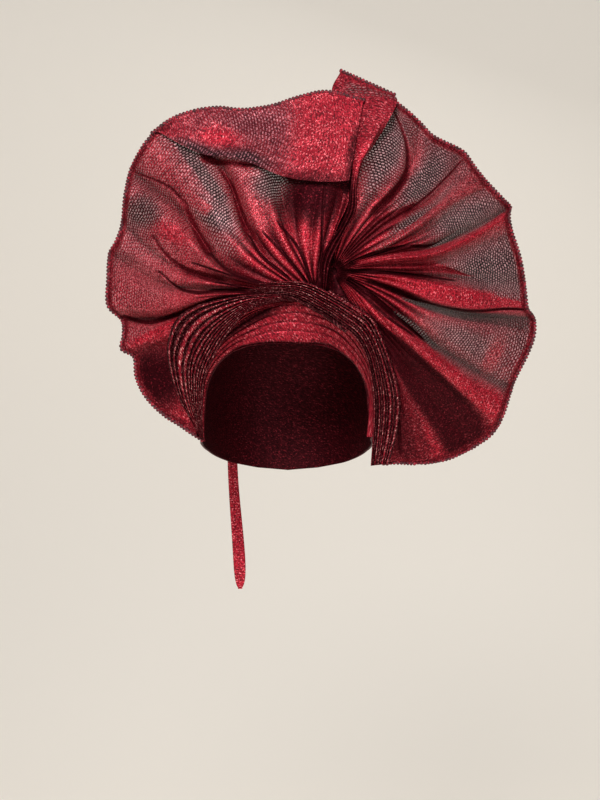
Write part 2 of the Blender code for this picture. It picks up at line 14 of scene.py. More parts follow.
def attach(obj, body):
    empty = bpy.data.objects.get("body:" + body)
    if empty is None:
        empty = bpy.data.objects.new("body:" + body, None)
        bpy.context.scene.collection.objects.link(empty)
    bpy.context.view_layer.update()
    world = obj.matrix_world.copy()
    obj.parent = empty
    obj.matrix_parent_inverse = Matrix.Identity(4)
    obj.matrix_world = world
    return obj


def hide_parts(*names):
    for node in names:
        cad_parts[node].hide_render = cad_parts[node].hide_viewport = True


# The main sizes and the line of sight, as in the CAD source.
FAN_REACH = 0.174
KNOT_DEPTH = 0.100
FOLD_START = 0.080
RIM_EASE = 0.070
RIGHT_GATHER = (0.0395, 0.1505)
LEFT_GATHER = (0.0275, 0.1260)
SIGHT_X = 0.0117
SIGHT_Z = 0.0390
SIGHT_DISTANCE = 1.300
OUTLINE_PLANE = -0.050
ANGLE_STATIONS = (0.10, 0.30, 0.50, 0.70)
SHOULDER_STATION = 0.20
MIDDLE_STATION = 0.50

# The head form.
HEAD_HALF_WIDTH = 0.076
HEAD_HALF_LENGTH = 0.095
HEAD_WIDEST_Z = 0.015
HEAD_CROWN = 0.103
HEAD_BELOW = 0.130
HEAD_ROUNDNESS = 2.4
CAP_WALL = 0.0020
CAP_RIM_GROWTH = 4.0
BAND_GAP = 0.0001
CLOTH_DEPTH = 0.0018

# How finely the cloth is drawn.
FAN_COLUMNS_PER_FOLD = 20
FAN_ROWS = 130
WRAP_COLUMNS_PER_PLEAT = 10
WRAP_ROWS = 220
BAND_COLUMNS_PER_LAP = 12
BAND_ROWS = 260
FLAP_ROWS = 90
FLAP_COLUMNS = 200
CREST_ROWS = 200
CREST_COLUMNS = 90
CAP_ROWS = 160
CAP_SIDES = 220

# Folds: heights and reaches in metres. Shades run from 0, lit cloth, to 1, a black groove.
FOLD_HEIGHT = 0.0085
LINE_HEIGHT = 0.0034
RIDGE_ROUNDNESS = 1.7
FINE_PLEAT_HEIGHT = 0.0016
FINE_PLEAT_START = 0.012
FINE_PLEAT_FADE = 0.060
FINE_PLEAT_LENGTH = 0.060
ROOT_SHADE_REACH = 0.0075
RIM_SETTLING = 0.3
COVER_STATIONS = (0.40, 0.62)
GROOVE_SHADE = 0.45
FINE_GROOVE_SHADE = 0.85
# Across a line, in its half widths: where its bend and its shade start to fade and how wide they fade, and
# where the cloth laps up beside it.
LINE_BEND = (0.20, 0.80)
LINE_SHADE_FADE = (0.60, 0.50)
LINE_FADE = 0.04
LAP_PLACE = 1.6
LAP_REACH = 1.4
LAP_HEIGHT = 0.7
PATCH_EDGE = (0.25, 0.95)
BAND_EDGES = (0.0, 0.26, 0.46, 0.67, 0.86, 1.0)
BAND_LAP_STEP = 0.0010
BAND_LAP_WANDER = 9.0
LAP_CREST = 0.82
LAP_NOISE_STEP = 7.3
BAND_SHADE = 0.13
# The painted shade at the foot of each lap: its depth, least strength, swing along the lap and how fast it
# fades.
LAP_LINE_SHADE = 0.80
LAP_LINE_LEAST = 0.35
LAP_LINE_SWING = 0.8
LAP_LINE_FALL = 1.8
# The shadow of the left wrap on the band.
WRAP_SHADOW = 0.75
WRAP_SHADOW_START = 0.02
WRAP_SHADOW_GROWTH = 0.12
WRAP_SHADOW_EDGE = (0.62, 0.2)
SEAT_ROUNDS = 6
# The cloth that the band turns back on the head and the wraps turn back to the band.
BAND_TUCK_SHARE = 0.45
BAND_TUCK_START = 0.38
BROW_TUCK = 0.1
BAND_TUCK_COLUMNS = 5
HEM_COLUMNS = 4
HEM_GAP = 0.0012
HEM_SHADE = 0.80
WRAP_PLEAT_HEIGHT = 0.0026
WRAP_WANDER = 0.022
WRAP_WANDER_TURNS = 4.0
PLEAT_NOISE_STEP = 6.0
WRAP_SWELL_SPAN = (0.06, 0.94)
PLEAT_SHADE_FADE = 0.3

# Uneven lie of the cloth between the folds.
RUMPLE_HEIGHT = 0.0011
RUMPLE_SIZE = 0.016
BAND_RUMPLE = (0.3, 0.5)
CREST_RUMPLE = (0.6, 0.7)
TIGHT_SHARE = 0.10
LOOSENING_SHARE = 0.3

# Net: the holes between its heavier threads, and the short lengths of its thread, the brightest of them
# painted glints.
NET_HOLE_WIDTH_MM = 3.9
NET_ROW_HEIGHT_MM = 2.6
NET_THREAD_MM = 0.80
GLITTER_GRAIN_MM = (1.1, 0.75, 1.0)
# Threads stray in waves about 11 mm long, within STRAY_REACH metres across and along the cloth.
STRAY_WAVES_PER_METRE = 90.0
STRAY_REACH = (0.0030, 0.0030, 0.0)
# The cloth is brighter and darker in clouds about 40 mm wide.
CLOUDS_PER_METRE = 26.0
CLOUD_LIFT = 0.24
# How much brighter a hole is than the threads round it, in closed cloth and in one open layer, where grains
# give the rest of the brightness.
CLOSED_HOLE_LIFT = -0.22
OPEN_HOLE_LIFT = 0.55
# How far a hole of one open layer shows what is behind it, and how far that swings with the clouds and with
# the grains.
OPEN_SHARE = 0.30
OPEN_SHARE_SWING = 0.4
FIBRE_SWING = 0.7
THREAD_RELIEF = 0.7
RELIEF_STRENGTH = 0.40
RELIEF_DEPTH = 0.0004
GRAIN_ROUGHNESS = (0.62, 0.42)
SHADE_GLOSS = (0.22, 0.02)
EDGE_GRAINS_PER_METRE = 700.0
# One open layer: near-black threads, with rosy dashes where the holes catch the light.
OPEN_THREADS = ((0.0, "0c0406"), (0.36, "200a10"), (0.66, "6a2c3a"), (1.0, "d0909a"))
# Unlit cloth keeps only a deep maroon, with a few pale sparks in the pleats.
UNLIT_THREADS = ((0.0, "1c0205"), (0.90, "33060d"), (1.0, "64141e"))
UNLIT_PLEATS = ((0.0, "1a0205"), (0.78, "36080e"), (1.0, "9c5458"))

# The stage: a floor that bends up into a wall, the lights, the room's own light and the camera's lens.
FLOOR_Z = -0.75
FLOOR_FRONT_Y = -4.0
WALL_Y = 2.60
WALL_TOP_Z = 4.0
BACKDROP_BEND = 1.00
BACKDROP_STEPS = 17
BACKDROP_HALF_WIDTH = 5.0
WALL_GLOW = 0.34
# Columns: name, place, place aimed at, side, watts, color.
LIGHTS = (
    ("key_softbox", (-0.35, -2.0, 1.25), (0.0, 0.0, 0.1), 0.8, 62.0, (1.0, 0.98, 0.95)),
    ("fill_softbox", (0.5, -1.8, 0.1), (0.0, 0.0, 0.1), 1.2, 10.0, (1.0, 0.99, 0.97)),
    ("back_softbox", (0.6, 1.7, 1.8), (0.0, 0.0, 0.05), 1.0, 22.0, (1.0, 0.99, 0.97)),
)
ROOM_LIGHT = 0.25
LENS_MM = 64.7

# The woven edge: scallops along a cord, and the band of closed cloth beside it.
SCALLOP_SPACING = 0.0032
SCALLOP_SIZE = (0.0016, 0.0010, 0.0019)
EDGE_CORD_RADIUS = 0.0009
EDGE_BAND_WIDTH = 0.0055
EDGE_BAND_BLEND = 0.0022
EDGE_SHADE = 0.48
EDGE_END_TRIM = 4

# Fold lines of the fans.
# Columns: height (share of FOLD_HEIGHT), reach (share of FAN_REACH), angle at the four stations and at the
# rim, forward at the middle and at the rim (shares of KNOT_DEPTH), then how closely the layers of net cover
# near the knot, at the middle and at the rim (0 is one open layer, 1 is closed).
RIGHT_FOLDS = (
    (0.0, 0.9, 80.0, 75.0, 77.5, 76.0, 74.0, 0.86, 0.57, 1.0, 0.9, 0.6),
    (-0.4, 0.905, 73.0, 71.0, 72.0, 70.5, 70.0, 0.87, 0.57, 1.0, 0.1, 0.3),
    (0.5, 0.893, 62.0, 59.0, 55.5, 60.0, 66.5, 0.88, 0.56, 0.9, 0.3, 0.6),
    (-0.3, 0.867, 57.0, 54.0, 51.0, 54.0, 60.0, 0.87, 0.555, 1.0, 0.9, 0.2),
    (0.25, 0.845, 52.0, 49.0, 45.0, 47.5, 54.0, 0.88, 0.55, 1.0, 0.1, 0.25),
    (-0.1, 0.86, 48.0, 45.0, 41.0, 43.0, 48.5, 0.88, 0.54, 1.0, 0.05, 0.2),
    (-0.6, 0.889, 43.0, 41.0, 36.5, 38.0, 42.5, 0.88, 0.53, 1.0, 0.8, 0.3),
    (0.0, 0.885, 38.0, 35.0, 32.0, 35.5, 38.0, 0.89, 0.52, 1.0, 0.3, 0.3),
    (0.7, 0.886, 30.0, 26.5, 28.5, 32.5, 34.0, 0.9, 0.51, 1.0, 0.6, 0.55),
    (-0.3, 0.898, 26.0, 22.5, 22.5, 27.0, 29.0, 0.89, 0.49, 1.0, 0.2, 0.3),
    (0.15, 0.925, 22.0, 19.5, 18.0, 22.0, 23.5, 0.89, 0.47, 1.0, 0.1, 0.15),
    (-0.9, 0.947, 19.5, 17.0, 13.8, 16.5, 20.0, 0.88, 0.455, 1.0, 0.5, 0.3),
    (1.0, 0.925, 16.0, 12.5, 10.0, 13.5, 17.0, 0.91, 0.45, 1.0, 0.9, 0.8),
    (-0.2, 0.923, 12.0, 8.5, 6.5, 9.0, 11.0, 0.89, 0.43, 1.0, 0.5, 0.1),
    (0.15, 0.943, 8.0, 4.0, 3.0, 4.0, 4.0, 0.89, 0.42, 1.0, 0.3, 0.05),
    (-0.8, 0.961, 2.0, -1.0, -2.5, -3.0, -2.8, 0.88, 0.4, 1.0, 0.7, 0.05),
    (0.8, 0.975, -3.5, -5.5, -7.0, -8.5, -7.0, 0.91, 0.39, 1.0, 0.9, 0.1),
    (0.75, 0.995, -8.0, -11.0, -15.0, -14.5, -10.8, 0.905, 0.385, 1.0, 1.0, 0.7),
    (-0.9, 1.037, -13.0, -16.5, -19.5, -17.5, -13.2, 0.88, 0.37, 1.0, 0.2, 0.5),
    (0.4, 1.06, -17.0, -20.0, -23.0, -22.0, -18.5, 0.89, 0.36, 1.0, 0.6, 0.1),
    (0.3, 1.057, -21.5, -25.5, -29.5, -30.0, -28.0, 0.885, 0.34, 1.0, 0.5, 0.3),
    (-0.9, 1.072, -26.0, -31.5, -36.0, -35.5, -33.5, 0.86, 0.32, 1.0, 0.4, 0.3),
    (1.0, 1.113, -33.0, -38.5, -41.5, -41.0, -39.8, 0.875, 0.3, 1.0, 1.0, 0.9),
    (-0.3, 1.136, -38.0, -46.5, -47.5, -46.0, -44.5, 0.86, 0.3, 1.0, 1.0, 1.0),
    (-0.8, 1.125, -42.0, -50.0, -52.0, -52.0, -51.5, 0.84, 0.32, 1.0, 1.0, 1.0),
    (-0.2, 1.092, -47.0, -53.0, -55.5, -58.0, -60.0, 0.82, 0.35, 1.0, 1.0, 1.0),
    (-0.6, 1.045, -51.0, -55.0, -57.5, -62.5, -66.5, 0.79, 0.39, 1.0, 1.0, 1.0),
    (0.0, 1.01, -55.0, -57.0, -59.0, -66.0, -71.0, 0.765, 0.42, 1.0, 1.0, 1.0),
    (-0.2, 0.996, -58.0, -59.0, -60.5, -69.0, -75.0, 0.75, 0.44, 1.0, 1.0, 1.0),
)
LEFT_FOLDS = (
    (0.0, 0.98, 68.0, 76.0, 73.0, 75.5, 80.0, 0.88, 0.56, 1.0, 1.0, 0.9),
    (-0.2, 0.995, 84.0, 79.0, 76.5, 79.0, 83.0, 0.88, 0.56, 1.0, 1.0, 0.6),
    (0.5, 1.02, 98.0, 90.0, 85.0, 86.0, 88.0, 0.89, 0.56, 1.0, 0.9, 0.5),
    (0.35, 1.012, 106.0, 103.0, 98.0, 96.0, 96.0, 0.88, 0.56, 1.0, 0.8, 0.4),
    (-0.5, 0.985, 110.5, 112.5, 110.0, 106.0, 104.5, 0.86, 0.555, 1.0, 0.3, 0.3),
    (0.45, 1.02, 118.0, 120.0, 117.0, 114.0, 112.5, 0.88, 0.55, 1.0, 0.3, 0.3),
    (0.5, 1.085, 130.0, 132.0, 128.0, 123.0, 119.5, 0.88, 0.545, 1.0, 0.6, 0.3),
    (-0.8, 1.148, 141.0, 141.0, 134.8, 127.8, 126.5, 0.86, 0.53, 1.0, 0.9, 0.3),
    (0.1, 1.17, 147.0, 146.0, 140.0, 133.0, 131.5, 0.88, 0.52, 1.0, 0.1, 0.2),
    (0.45, 1.165, 153.0, 151.0, 147.0, 141.0, 138.0, 0.89, 0.5, 1.0, 0.3, 0.6),
    (-0.8, 1.14, 162.0, 162.5, 160.5, 150.5, 145.3, 0.87, 0.47, 1.0, 0.8, 0.4),
    (0.8, 1.097, 165.0, 165.0, 163.5, 156.5, 151.5, 0.9, 0.45, 1.0, 0.7, 0.3),
    (-0.6, 1.052, 168.0, 167.5, 168.5, 167.5, 158.5, 0.88, 0.43, 1.0, 0.9, 0.3),
    (0.1, 1.05, 170.0, 170.0, 171.0, 171.5, 163.5, 0.88, 0.42, 1.0, 0.8, 0.4),
    (-0.7, 1.067, 172.0, 172.5, 174.5, 175.0, 167.5, 0.87, 0.41, 1.0, 0.8, 0.4),
    (0.7, 1.055, 174.0, 174.0, 177.0, 178.5, 174.5, 0.9, 0.39, 1.0, 0.9, 0.5),
    (0.6, 1.05, 175.5, 175.5, 178.5, 182.5, 181.5, 0.89, 0.38, 1.0, 0.9, 0.6),
    (-1.0, 0.985, 177.0, 177.5, 180.3, 186.0, 185.8, 0.86, 0.37, 1.0, 1.0, 0.8),
    (0.4, 0.99, 178.3, 179.2, 182.3, 188.5, 190.5, 0.86, 0.38, 1.0, 1.0, 0.5),
    (0.3, 1.012, 179.5, 180.8, 184.5, 191.5, 194.0, 0.85, 0.39, 1.0, 1.0, 0.9),
    (-0.5, 0.963, 180.5, 182.2, 187.0, 195.0, 197.2, 0.84, 0.41, 1.0, 1.0, 0.9),
    (-0.4, 0.987, 181.5, 183.8, 189.5, 199.0, 203.0, 0.83, 0.42, 1.0, 1.0, 0.9),
    (0.3, 0.987, 182.5, 185.3, 192.0, 202.5, 209.5, 0.82, 0.44, 1.0, 1.0, 1.0),
    (0.4, 0.96, 183.5, 186.8, 194.5, 206.0, 217.0, 0.81, 0.47, 1.0, 1.0, 1.0),
    (-0.2, 0.935, 184.5, 188.3, 197.5, 208.5, 221.5, 0.81, 0.52, 1.0, 1.0, 1.0),
    (-0.4, 0.92, 185.5, 190.0, 200.0, 211.0, 226.0, 0.8, 0.56, 1.0, 1.0, 1.0),
    (-0.6, 0.905, 186.0, 191.0, 201.5, 213.0, 231.5, 0.79, 0.54, 1.0, 1.0, 1.0),
)

# Creases and ridges that the cloth makes between the main folds.
# Columns: lift (share of LINE_HEIGHT, below 0 for a crease), half width at the inner and at the outer end in
# millimetres, how closely the layers cover, depth of shade (0 is lit cloth, 1 is a black groove), side where
# the cloth laps up beside a crease (1 towards larger angles, -1 towards smaller ones, 0 for none), then the
# line's points as radius (share of FAN_REACH) and angle.
RIGHT_LINES = (
    (-0.2, 15.0, 23.0, 1.0, 0.8, 0, ((0.3, -50.0), (0.55, -51.5), (0.85, -51.0), (1.1, -52.0))),
    (0.3, 2.5, 6.0, 1.0, 0.46, 0, ((0.5, -57.5), (0.8, -60.0), (1.0, -63.0))),
    (-0.5, 1.4, 2.0, 1.0, 0.8, -1, ((0.35, -56.5), (0.5, -60.0), (0.68, -63.0), (0.95, -69.0))),
    (0.3, 5.0, 10.5, 1.0, 0.0, 0, ((0.25, -7.0), (0.5, -10.5), (0.7, -11.0), (0.8, -11.2))),
    (0.2, 8.5, 2.5, 0.95, 0.0, 0, ((0.77, -11.2), (0.88, -10.4), (1.0, -9.8))),
    (0.4, 4.5, 9.0, 1.0, 0.0, 0, ((0.12, -46.0), (0.3, -43.5), (0.48, -40.7), (0.72, -40.5), (1.08, -40.5))),
    (-0.6, 5.0, 1.6, 1.0, 0.6, 1, ((0.37, 54.0), (0.55, 52.0), (0.61, 52.7), (0.68, 56.0), (0.86, 69.0))),
    (-0.4, 7.5, 4.0, 1.0, 0.55, 0, ((0.12, 47.0), (0.34, 45.0), (0.44, 41.5), (0.52, 38.5))),
    (-0.4, 1.4, 0.9, 1.0, 0.6, 0, ((0.5, 38.4), (0.62, 38.6), (0.74, 39.5), (0.84, 40.5))),
    (0.4, 3.0, 4.5, 0.7, 0.0, 0, ((0.25, 27.0), (0.45, 28.5), (0.55, 30.0), (0.72, 31.0), (0.86, 30.2))),
    (-0.7, 3.4, 1.0, 1.0, 0.75, -1, ((0.1, 25.0), (0.4, 18.5), (0.5, 15.0), (0.62, 17.0))),
    (0.0, 1.2, 2.6, 0.0, 0.3, 0, ((0.48, 12.8), (0.6, 15.8), (0.68, 18.0))),
    (0.5, 6.0, 3.4, 1.0, 0.0, 0, ((0.15, 13.5), (0.4, 10.5), (0.6, 12.0), (0.8, 15.8), (0.9, 18.0))),
    (-0.4, 4.0, 6.0, 1.0, 0.3, 0, ((0.15, 7.5), (0.3, 6.0), (0.5, 3.0))),
    (-0.4, 6.0, 0.6, 1.0, 0.3, 0, ((0.48, 3.2), (0.58, 0.8), (0.68, -1.6))),
    (-0.7, 2.6, 1.0, 1.0, 0.85, -1, ((0.08, 2.0), (0.3, -1.0), (0.48, -3.0), (0.6, -4.0))),
    (-0.6, 2.6, 1.2, 1.0, 0.75, 1, ((0.2, -14.5), (0.5, -18.3), (0.7, -16.2), (0.9, -11.9), (0.99, -11.0))),
    (-0.1, 1.4, 7.0, 0.25, 0.45, 0, ((0.4, -20.8), (0.5, -20.0), (0.7, -18.4), (0.8, -16.8), (1.0, -15.0))),
    (-0.7, 3.6, 1.4, 1.0, 0.85, -1, ((0.1, -26.0), (0.3, -33.0), (0.42, -35.2), (0.56, -36.5))),
    (0.0, 1.4, 3.0, 0.25, 0.5, 0, ((0.4, -32.6), (0.52, -33.7), (0.63, -36.0))),
    (-0.6, 2.6, 1.2, 1.0, 0.8, 1, ((0.1, -33.0), (0.3, -39.0), (0.5, -38.0))),
)
LEFT_LINES = (
    (0.0, 6.0, 6.0, 0.6, 0.0, 0, ((0.72, 141.0), (0.85, 141.5), (1.05, 139.0))),
    (0.0, 6.0, 6.0, 0.0, 0.25, 0, ((0.7, 134.0), (0.85, 132.5), (1.08, 131.0))),
    (-0.5, 5.0, 4.0, 1.0, 0.7, 0, ((1.14, 131.5), (1.0, 128.0), (0.85, 126.0), (0.72, 112.0), (0.62, 102.0))),
    (-0.1, 5.0, 3.4, 1.0, 0.5, 0, ((0.9, 129.0), (0.85, 126.0), (0.81, 122.5), (0.76, 117.5))),
    (-0.2, 5.0, 1.6, 1.0, 0.46, 1, ((0.8, 127.0), (0.7, 127.5), (0.6, 131.0), (0.48, 136.0))),
    (-0.6, 1.4, 1.2, 1.0, 0.85, 1, ((0.46, 137.0), (0.38, 141.0), (0.2, 143.0))),
    (-0.4, 2.0, 1.0, 1.0, 0.65, 1, ((1.11, 145.0), (0.9, 143.0), (0.83, 144.0))),
    (-0.2, 5.2, 3.0, 1.0, 0.46, 1, ((0.83, 144.0), (0.75, 147.5), (0.7, 150.5), (0.6, 156.0))),
    (-0.6, 1.8, 1.2, 1.0, 0.8, 1, ((0.58, 157.0), (0.5, 161.0), (0.25, 164.0))),
    (-0.4, 4.4, 1.6, 1.0, 0.6, 1, ((0.88, 159.0), (0.8, 163.0), (0.7, 166.5), (0.5, 168.5))),
    (-0.4, 2.2, 1.4, 1.0, 0.75, 1, ((0.8, 170.0), (0.7, 175.0), (0.6, 176.5), (0.5, 174.5), (0.3, 173.0))),
    (-0.4, 1.3, 1.0, 1.0, 0.9, 0, ((0.64, 163.5), (0.45, 164.3), (0.2, 164.5))),
    (-0.4, 1.3, 1.0, 1.0, 0.9, 0, ((0.5, 170.0), (0.35, 170.8), (0.2, 170.5))),
    (-0.6, 3.0, 2.2, 1.0, 0.7, 1, ((0.97, 185.0), (0.85, 187.5), (0.7, 185.5), (0.5, 179.5), (0.25, 177.0))),
    (0.4, 2.4, 4.0, 1.0, 0.0, 0, ((0.92, 193.0), (0.75, 189.5), (0.6, 185.5), (0.4, 180.5))),
    (-0.5, 1.8, 1.2, 1.0, 0.85, 0, ((0.42, 117.0), (0.2, 110.0), (0.12, 112.0))),
    (-0.5, 1.8, 1.0, 1.0, 0.85, 0, ((0.58, 86.5), (0.4, 87.0), (0.25, 86.0), (0.12, 84.0))),
    (-0.4, 1.6, 1.2, 1.0, 0.85, 0, ((0.42, 129.0), (0.3, 127.0), (0.12, 124.0))),
)

# Places where the net lies open or closed, and where shade is painted, such as the flap's shadow on the left
# fan, or cloth left lit.
# Columns: radius (share of FAN_REACH), angle, half length along the radius (share of FAN_REACH), half width
# in degrees, how closely the layers cover, depth of shade.
RIGHT_PATCHES = (
    (0.62, 65.0, 0.3, 8.0, 0.0, 0.2),
    (0.64, 45.0, 0.24, 7.5, 0.0, 0.05),
    (0.46, 33.0, 0.16, 4.0, 0.05, 0.25),
    (0.7, 22.0, 0.2, 6.5, 0.0, 0.1),
    (0.78, 1.0, 0.22, 10.0, 0.0, 0.0),
    (0.76, -27.0, 0.26, 6.5, 0.1, 0.0),
    (0.91, -27.5, 0.05, 8.0, 0.6, 0.0),
    (1.02, -39.0, 0.16, 4.5, 1.0, 0.0),
    (0.8, -47.0, 0.42, 6.5, 1.0, 1.0),
    (0.7, -54.0, 0.2, 4.0, 1.0, 0.75),
    (0.85, -67.0, 0.42, 9.0, 1.0, 0.64),
)
LEFT_PATCHES = (
    (0.52, 94.0, 0.17, 24.0, 1.0, 0.98),
    (0.3, 101.0, 0.11, 9.0, 1.0, 0.0),
    (0.62, 113.0, 0.1, 9.0, 0.0, 0.35),
    (0.98, 170.0, 0.12, 5.0, 0.5, 0.25),
    (0.52, 126.0, 0.12, 7.0, 0.75, 0.0),
    (0.66, 141.0, 0.15, 7.0, 0.0, 0.1),
    (0.8, 155.5, 0.13, 4.5, 0.9, 0.0),
    (0.98, 153.0, 0.1, 6.0, 0.1, 0.35),
    (0.9, 175.0, 0.18, 9.0, 0.6, 0.0),
    (0.9, 206.0, 0.2, 14.0, 1.0, 0.92),
    (0.55, 150.0, 0.1, 5.0, 0.4, 0.0),
)
RIGHT_ROOT = (0.0045, 0.90, 0.970)
LEFT_ROOT = (0.0100, 0.95, 0.965)

# Forehead band, wraps, fold over the left fan and crest: the same columns as in the CAD source, in shares of
# FAN_REACH, with forward places in shares of KNOT_DEPTH.
BAND = (
    (-0.41, 0.04, -0.45, 0.04, 0.53),
    (-0.41, 0.165, -0.455, 0.165, 0.53),
    (-0.4, 0.275, -0.45, 0.285, 0.54),
    (-0.38, 0.35, -0.43, 0.385, 0.57),
    (-0.33, 0.42, -0.38, 0.475, 0.64),
    (-0.255, 0.48, -0.3, 0.56, 0.72),
    (-0.16, 0.505, -0.2, 0.64, 0.8),
    (-0.05, 0.515, -0.07, 0.715, 0.88),
    (0.09, 0.51, 0.08, 0.73, 0.92),
    (0.21, 0.5, 0.22, 0.675, 0.885),
    (0.285, 0.455, 0.32, 0.59, 0.816),
    (0.35, 0.39, 0.39, 0.485, 0.716),
    (0.39, 0.315, 0.435, 0.375, 0.626),
    (0.41, 0.24, 0.455, 0.25, 0.575),
    (0.41, 0.15, 0.455, 0.15, 0.55),
    (0.4, 0.04, 0.44, 0.04, 0.54),
)
LEFT_WRAP = (
    (0.06, 0.755, 0.075, 0.715, 1.005),
    (-0.04, 0.755, -0.04, 0.715, 1.01),
    (-0.24, 0.745, -0.185, 0.67, 1.005),
    (-0.44, 0.7, -0.3, 0.545, 0.95),
    (-0.545, 0.635, -0.365, 0.43, 0.87),
    (-0.59, 0.535, -0.4, 0.35, 0.81),
    (-0.595, 0.435, -0.415, 0.27, 0.75),
    (-0.55, 0.26, -0.42, 0.15, 0.66),
    (-0.44, 0.05, -0.415, 0.02, 0.575),
)
RIGHT_WRAP = (
    (0.215, 0.775, 0.16, 0.71, 1.01),
    (0.29, 0.735, 0.19, 0.635, 1.01),
    (0.365, 0.685, 0.275, 0.59, 1.005),
    (0.44, 0.625, 0.345, 0.53, 0.975),
    (0.505, 0.475, 0.395, 0.445, 0.88),
    (0.55, 0.335, 0.42, 0.335, 0.77),
    (0.57, 0.215, 0.435, 0.205, 0.675),
    (0.555, 0.065, 0.43, 0.045, 0.595),
    (0.51, -0.095, 0.42, -0.105, 0.563),
)

# Columns: top edge x, z and lower edge x, z, top and lower edge forward, then how closely the layers cover.
TOP_FOLD = (
    (-0.672, 1.56, -0.648, 1.57, 0.56, 0.565, 0.8),
    (-0.572, 1.63, -0.528, 1.5, 0.575, 0.66, 0.7),
    (-0.458, 1.67, -0.408, 1.45, 0.59, 0.74, 0.5),
    (-0.342, 1.685, -0.292, 1.438, 0.6, 0.81, 0.45),
    (-0.218, 1.675, -0.178, 1.408, 0.61, 0.85, 0.45),
    (-0.072, 1.695, -0.042, 1.35, 0.62, 0.9, 0.45),
    (0.068, 1.74, 0.068, 1.325, 0.63, 0.93, 0.9),
    (0.208, 1.765, 0.192, 1.315, 0.66, 0.95, 1.0),
    (0.385, 1.725, 0.312, 1.32, 0.785, 0.985, 1.0),
)
FLAP_SHADE = 0.08
# Places where the flap lies open or carries painted shade, as at its foot and along its seam with the crest.
# Columns: share of the way down, place along it in percent, half width down, half width along, how closely
# the layers cover, depth of shade.
FLAP_PATCHES = (
    (0.9, 26.0, 0.3, 22.0, 0.0, 0.22),
    (0.9, 48.0, 0.2, 14.0, 0.0, 0.18),
    (0.28, 56.0, 0.42, 20.0, 0.25, 0.0),
    (0.6, 34.0, 0.3, 16.0, 1.0, 0.0),
    (0.15, 5.0, 0.4, 8.0, 1.0, 0.5),
    (0.5, 84.0, 0.6, 14.0, 1.0, 0.18),
    (1.04, 82.0, 0.2, 24.0, 1.0, 0.62),
    (0.7, 101.0, 0.55, 5.0, 1.0, 0.75),
)
CREST = (
    (0.172, 0.775, 0.198, 0.775, 1.03, 1.03),
    (0.165, 0.905, 0.222, 0.905, 1.03, 1.03),
    (0.198, 1.0, 0.264, 0.995, 1.025, 1.02),
    (0.25, 1.07, 0.306, 1.08, 1.01, 1.01),
    (0.298, 1.175, 0.352, 1.175, 0.985, 0.99),
    (0.312, 1.275, 0.355, 1.295, 0.96, 0.97),
    (0.318, 1.385, 0.382, 1.415, 0.91, 0.945),
    (0.318, 1.485, 0.438, 1.5, 0.84, 0.905),
    (0.292, 1.6, 0.498, 1.6, 0.74, 0.845),
    (0.226, 1.76, 0.552, 1.71, 0.64, 0.76),
    (0.272, 1.87, 0.538, 1.75, 0.58, 0.7),
)
# Places where the crest carries a painted highlight or painted shade. Columns: share of the way up, place
# across it in percent, half width up, half width across, how closely the layers cover, depth of shade.
CREST_PATCHES = (
    (0.64, 60.0, 0.12, 50.0, 1.0, 0.0),
    (0.84, 80.0, 0.12, 50.0, 1.0, 0.25),
)
CREST_BOW = 0.004
CREST_BOW_GROWTH = 2.5
CREST_PLEATS = 3
CREST_PLEAT_HEIGHT = 0.0013
# Pairs: share of the way up or across where something starts to fade, and over how much it fades.
CREST_GATHER = (0.35, 0.30)
CREST_GATHER_SHADE = 0.35
CREST_TUCK = 0.0125
CREST_TUCK_WIDTH = 0.16
CREST_TUCK_END = (0.70, 0.15)
CREST_SHADE = 0.28
CREST_CREASE_SHADE = 0.75
CREST_CREASE = (0.08, 0.24)
CREST_CREASE_END = (0.80, 0.10)
# The one open stripe below the crest's tip.
CREST_OPEN = (0.90, 0.975)
CREST_OPEN_BLEND = 0.02
CREST_OPEN_SIDE = (0.1, 0.2)
CREST_OPENNESS = 0.5

# Knot: the neck of fine pleats that crosses from the left wrap to the right one. Columns as for the wraps.
KNOT = (
    (-0.2, 0.8, -0.21, 0.745, 0.9),
    (-0.1, 0.812, -0.12, 0.745, 0.975),
    (0.03, 0.82, 0.0, 0.735, 1.035),
    (0.11, 0.81, 0.07, 0.705, 1.06),
    (0.19, 0.775, 0.14, 0.665, 1.065),
    (0.26, 0.735, 0.195, 0.635, 1.055),
    (0.33, 0.695, 0.245, 0.595, 1.03),
    (0.385, 0.655, 0.295, 0.56, 0.99),
)

# Pleats of the wraps and the knot from the outer edge inwards.
# Columns: width (any unit), share of the height that the painted black shade of the groove takes, depth of
# painted shade on the ridge.
LEFT_WRAP_PLEATS = (
    (0.13, 0.7, 0.05),
    (0.13, 0.72, 0.2),
    (0.17, 0.4, 0.0),
    (0.12, 0.45, 0.1),
    (0.08, 0.5, 0.3),
    (0.07, 0.45, 0.15),
    (0.07, 0.5, 0.35),
    (0.06, 0.5, 0.2),
    (0.06, 0.45, 0.4),
    (0.055, 0.5, 0.25),
    (0.055, 0.45, 0.45),
)
RIGHT_WRAP_PLEATS = (
    (0.2, 0.62, 0.25),
    (0.09, 0.45, 0.3),
    (0.17, 0.5, 0.15),
    (0.07, 0.5, 0.4),
    (0.13, 0.55, 0.3),
    (0.06, 0.45, 0.35),
    (0.11, 0.5, 0.2),
    (0.1, 0.8, 0.6),
    (0.07, 0.4, 0.15),
)
KNOT_PLEATS = (
    (0.13, 0.5, 0.15),
    (0.1, 0.45, 0.35),
    (0.12, 0.55, 0.2),
    (0.09, 0.45, 0.4),
    (0.11, 0.5, 0.25),
    (0.08, 0.5, 0.4),
    (0.1, 0.45, 0.35),
    (0.09, 0.6, 0.6),
    (0.18, 0.8, 0.9),
)

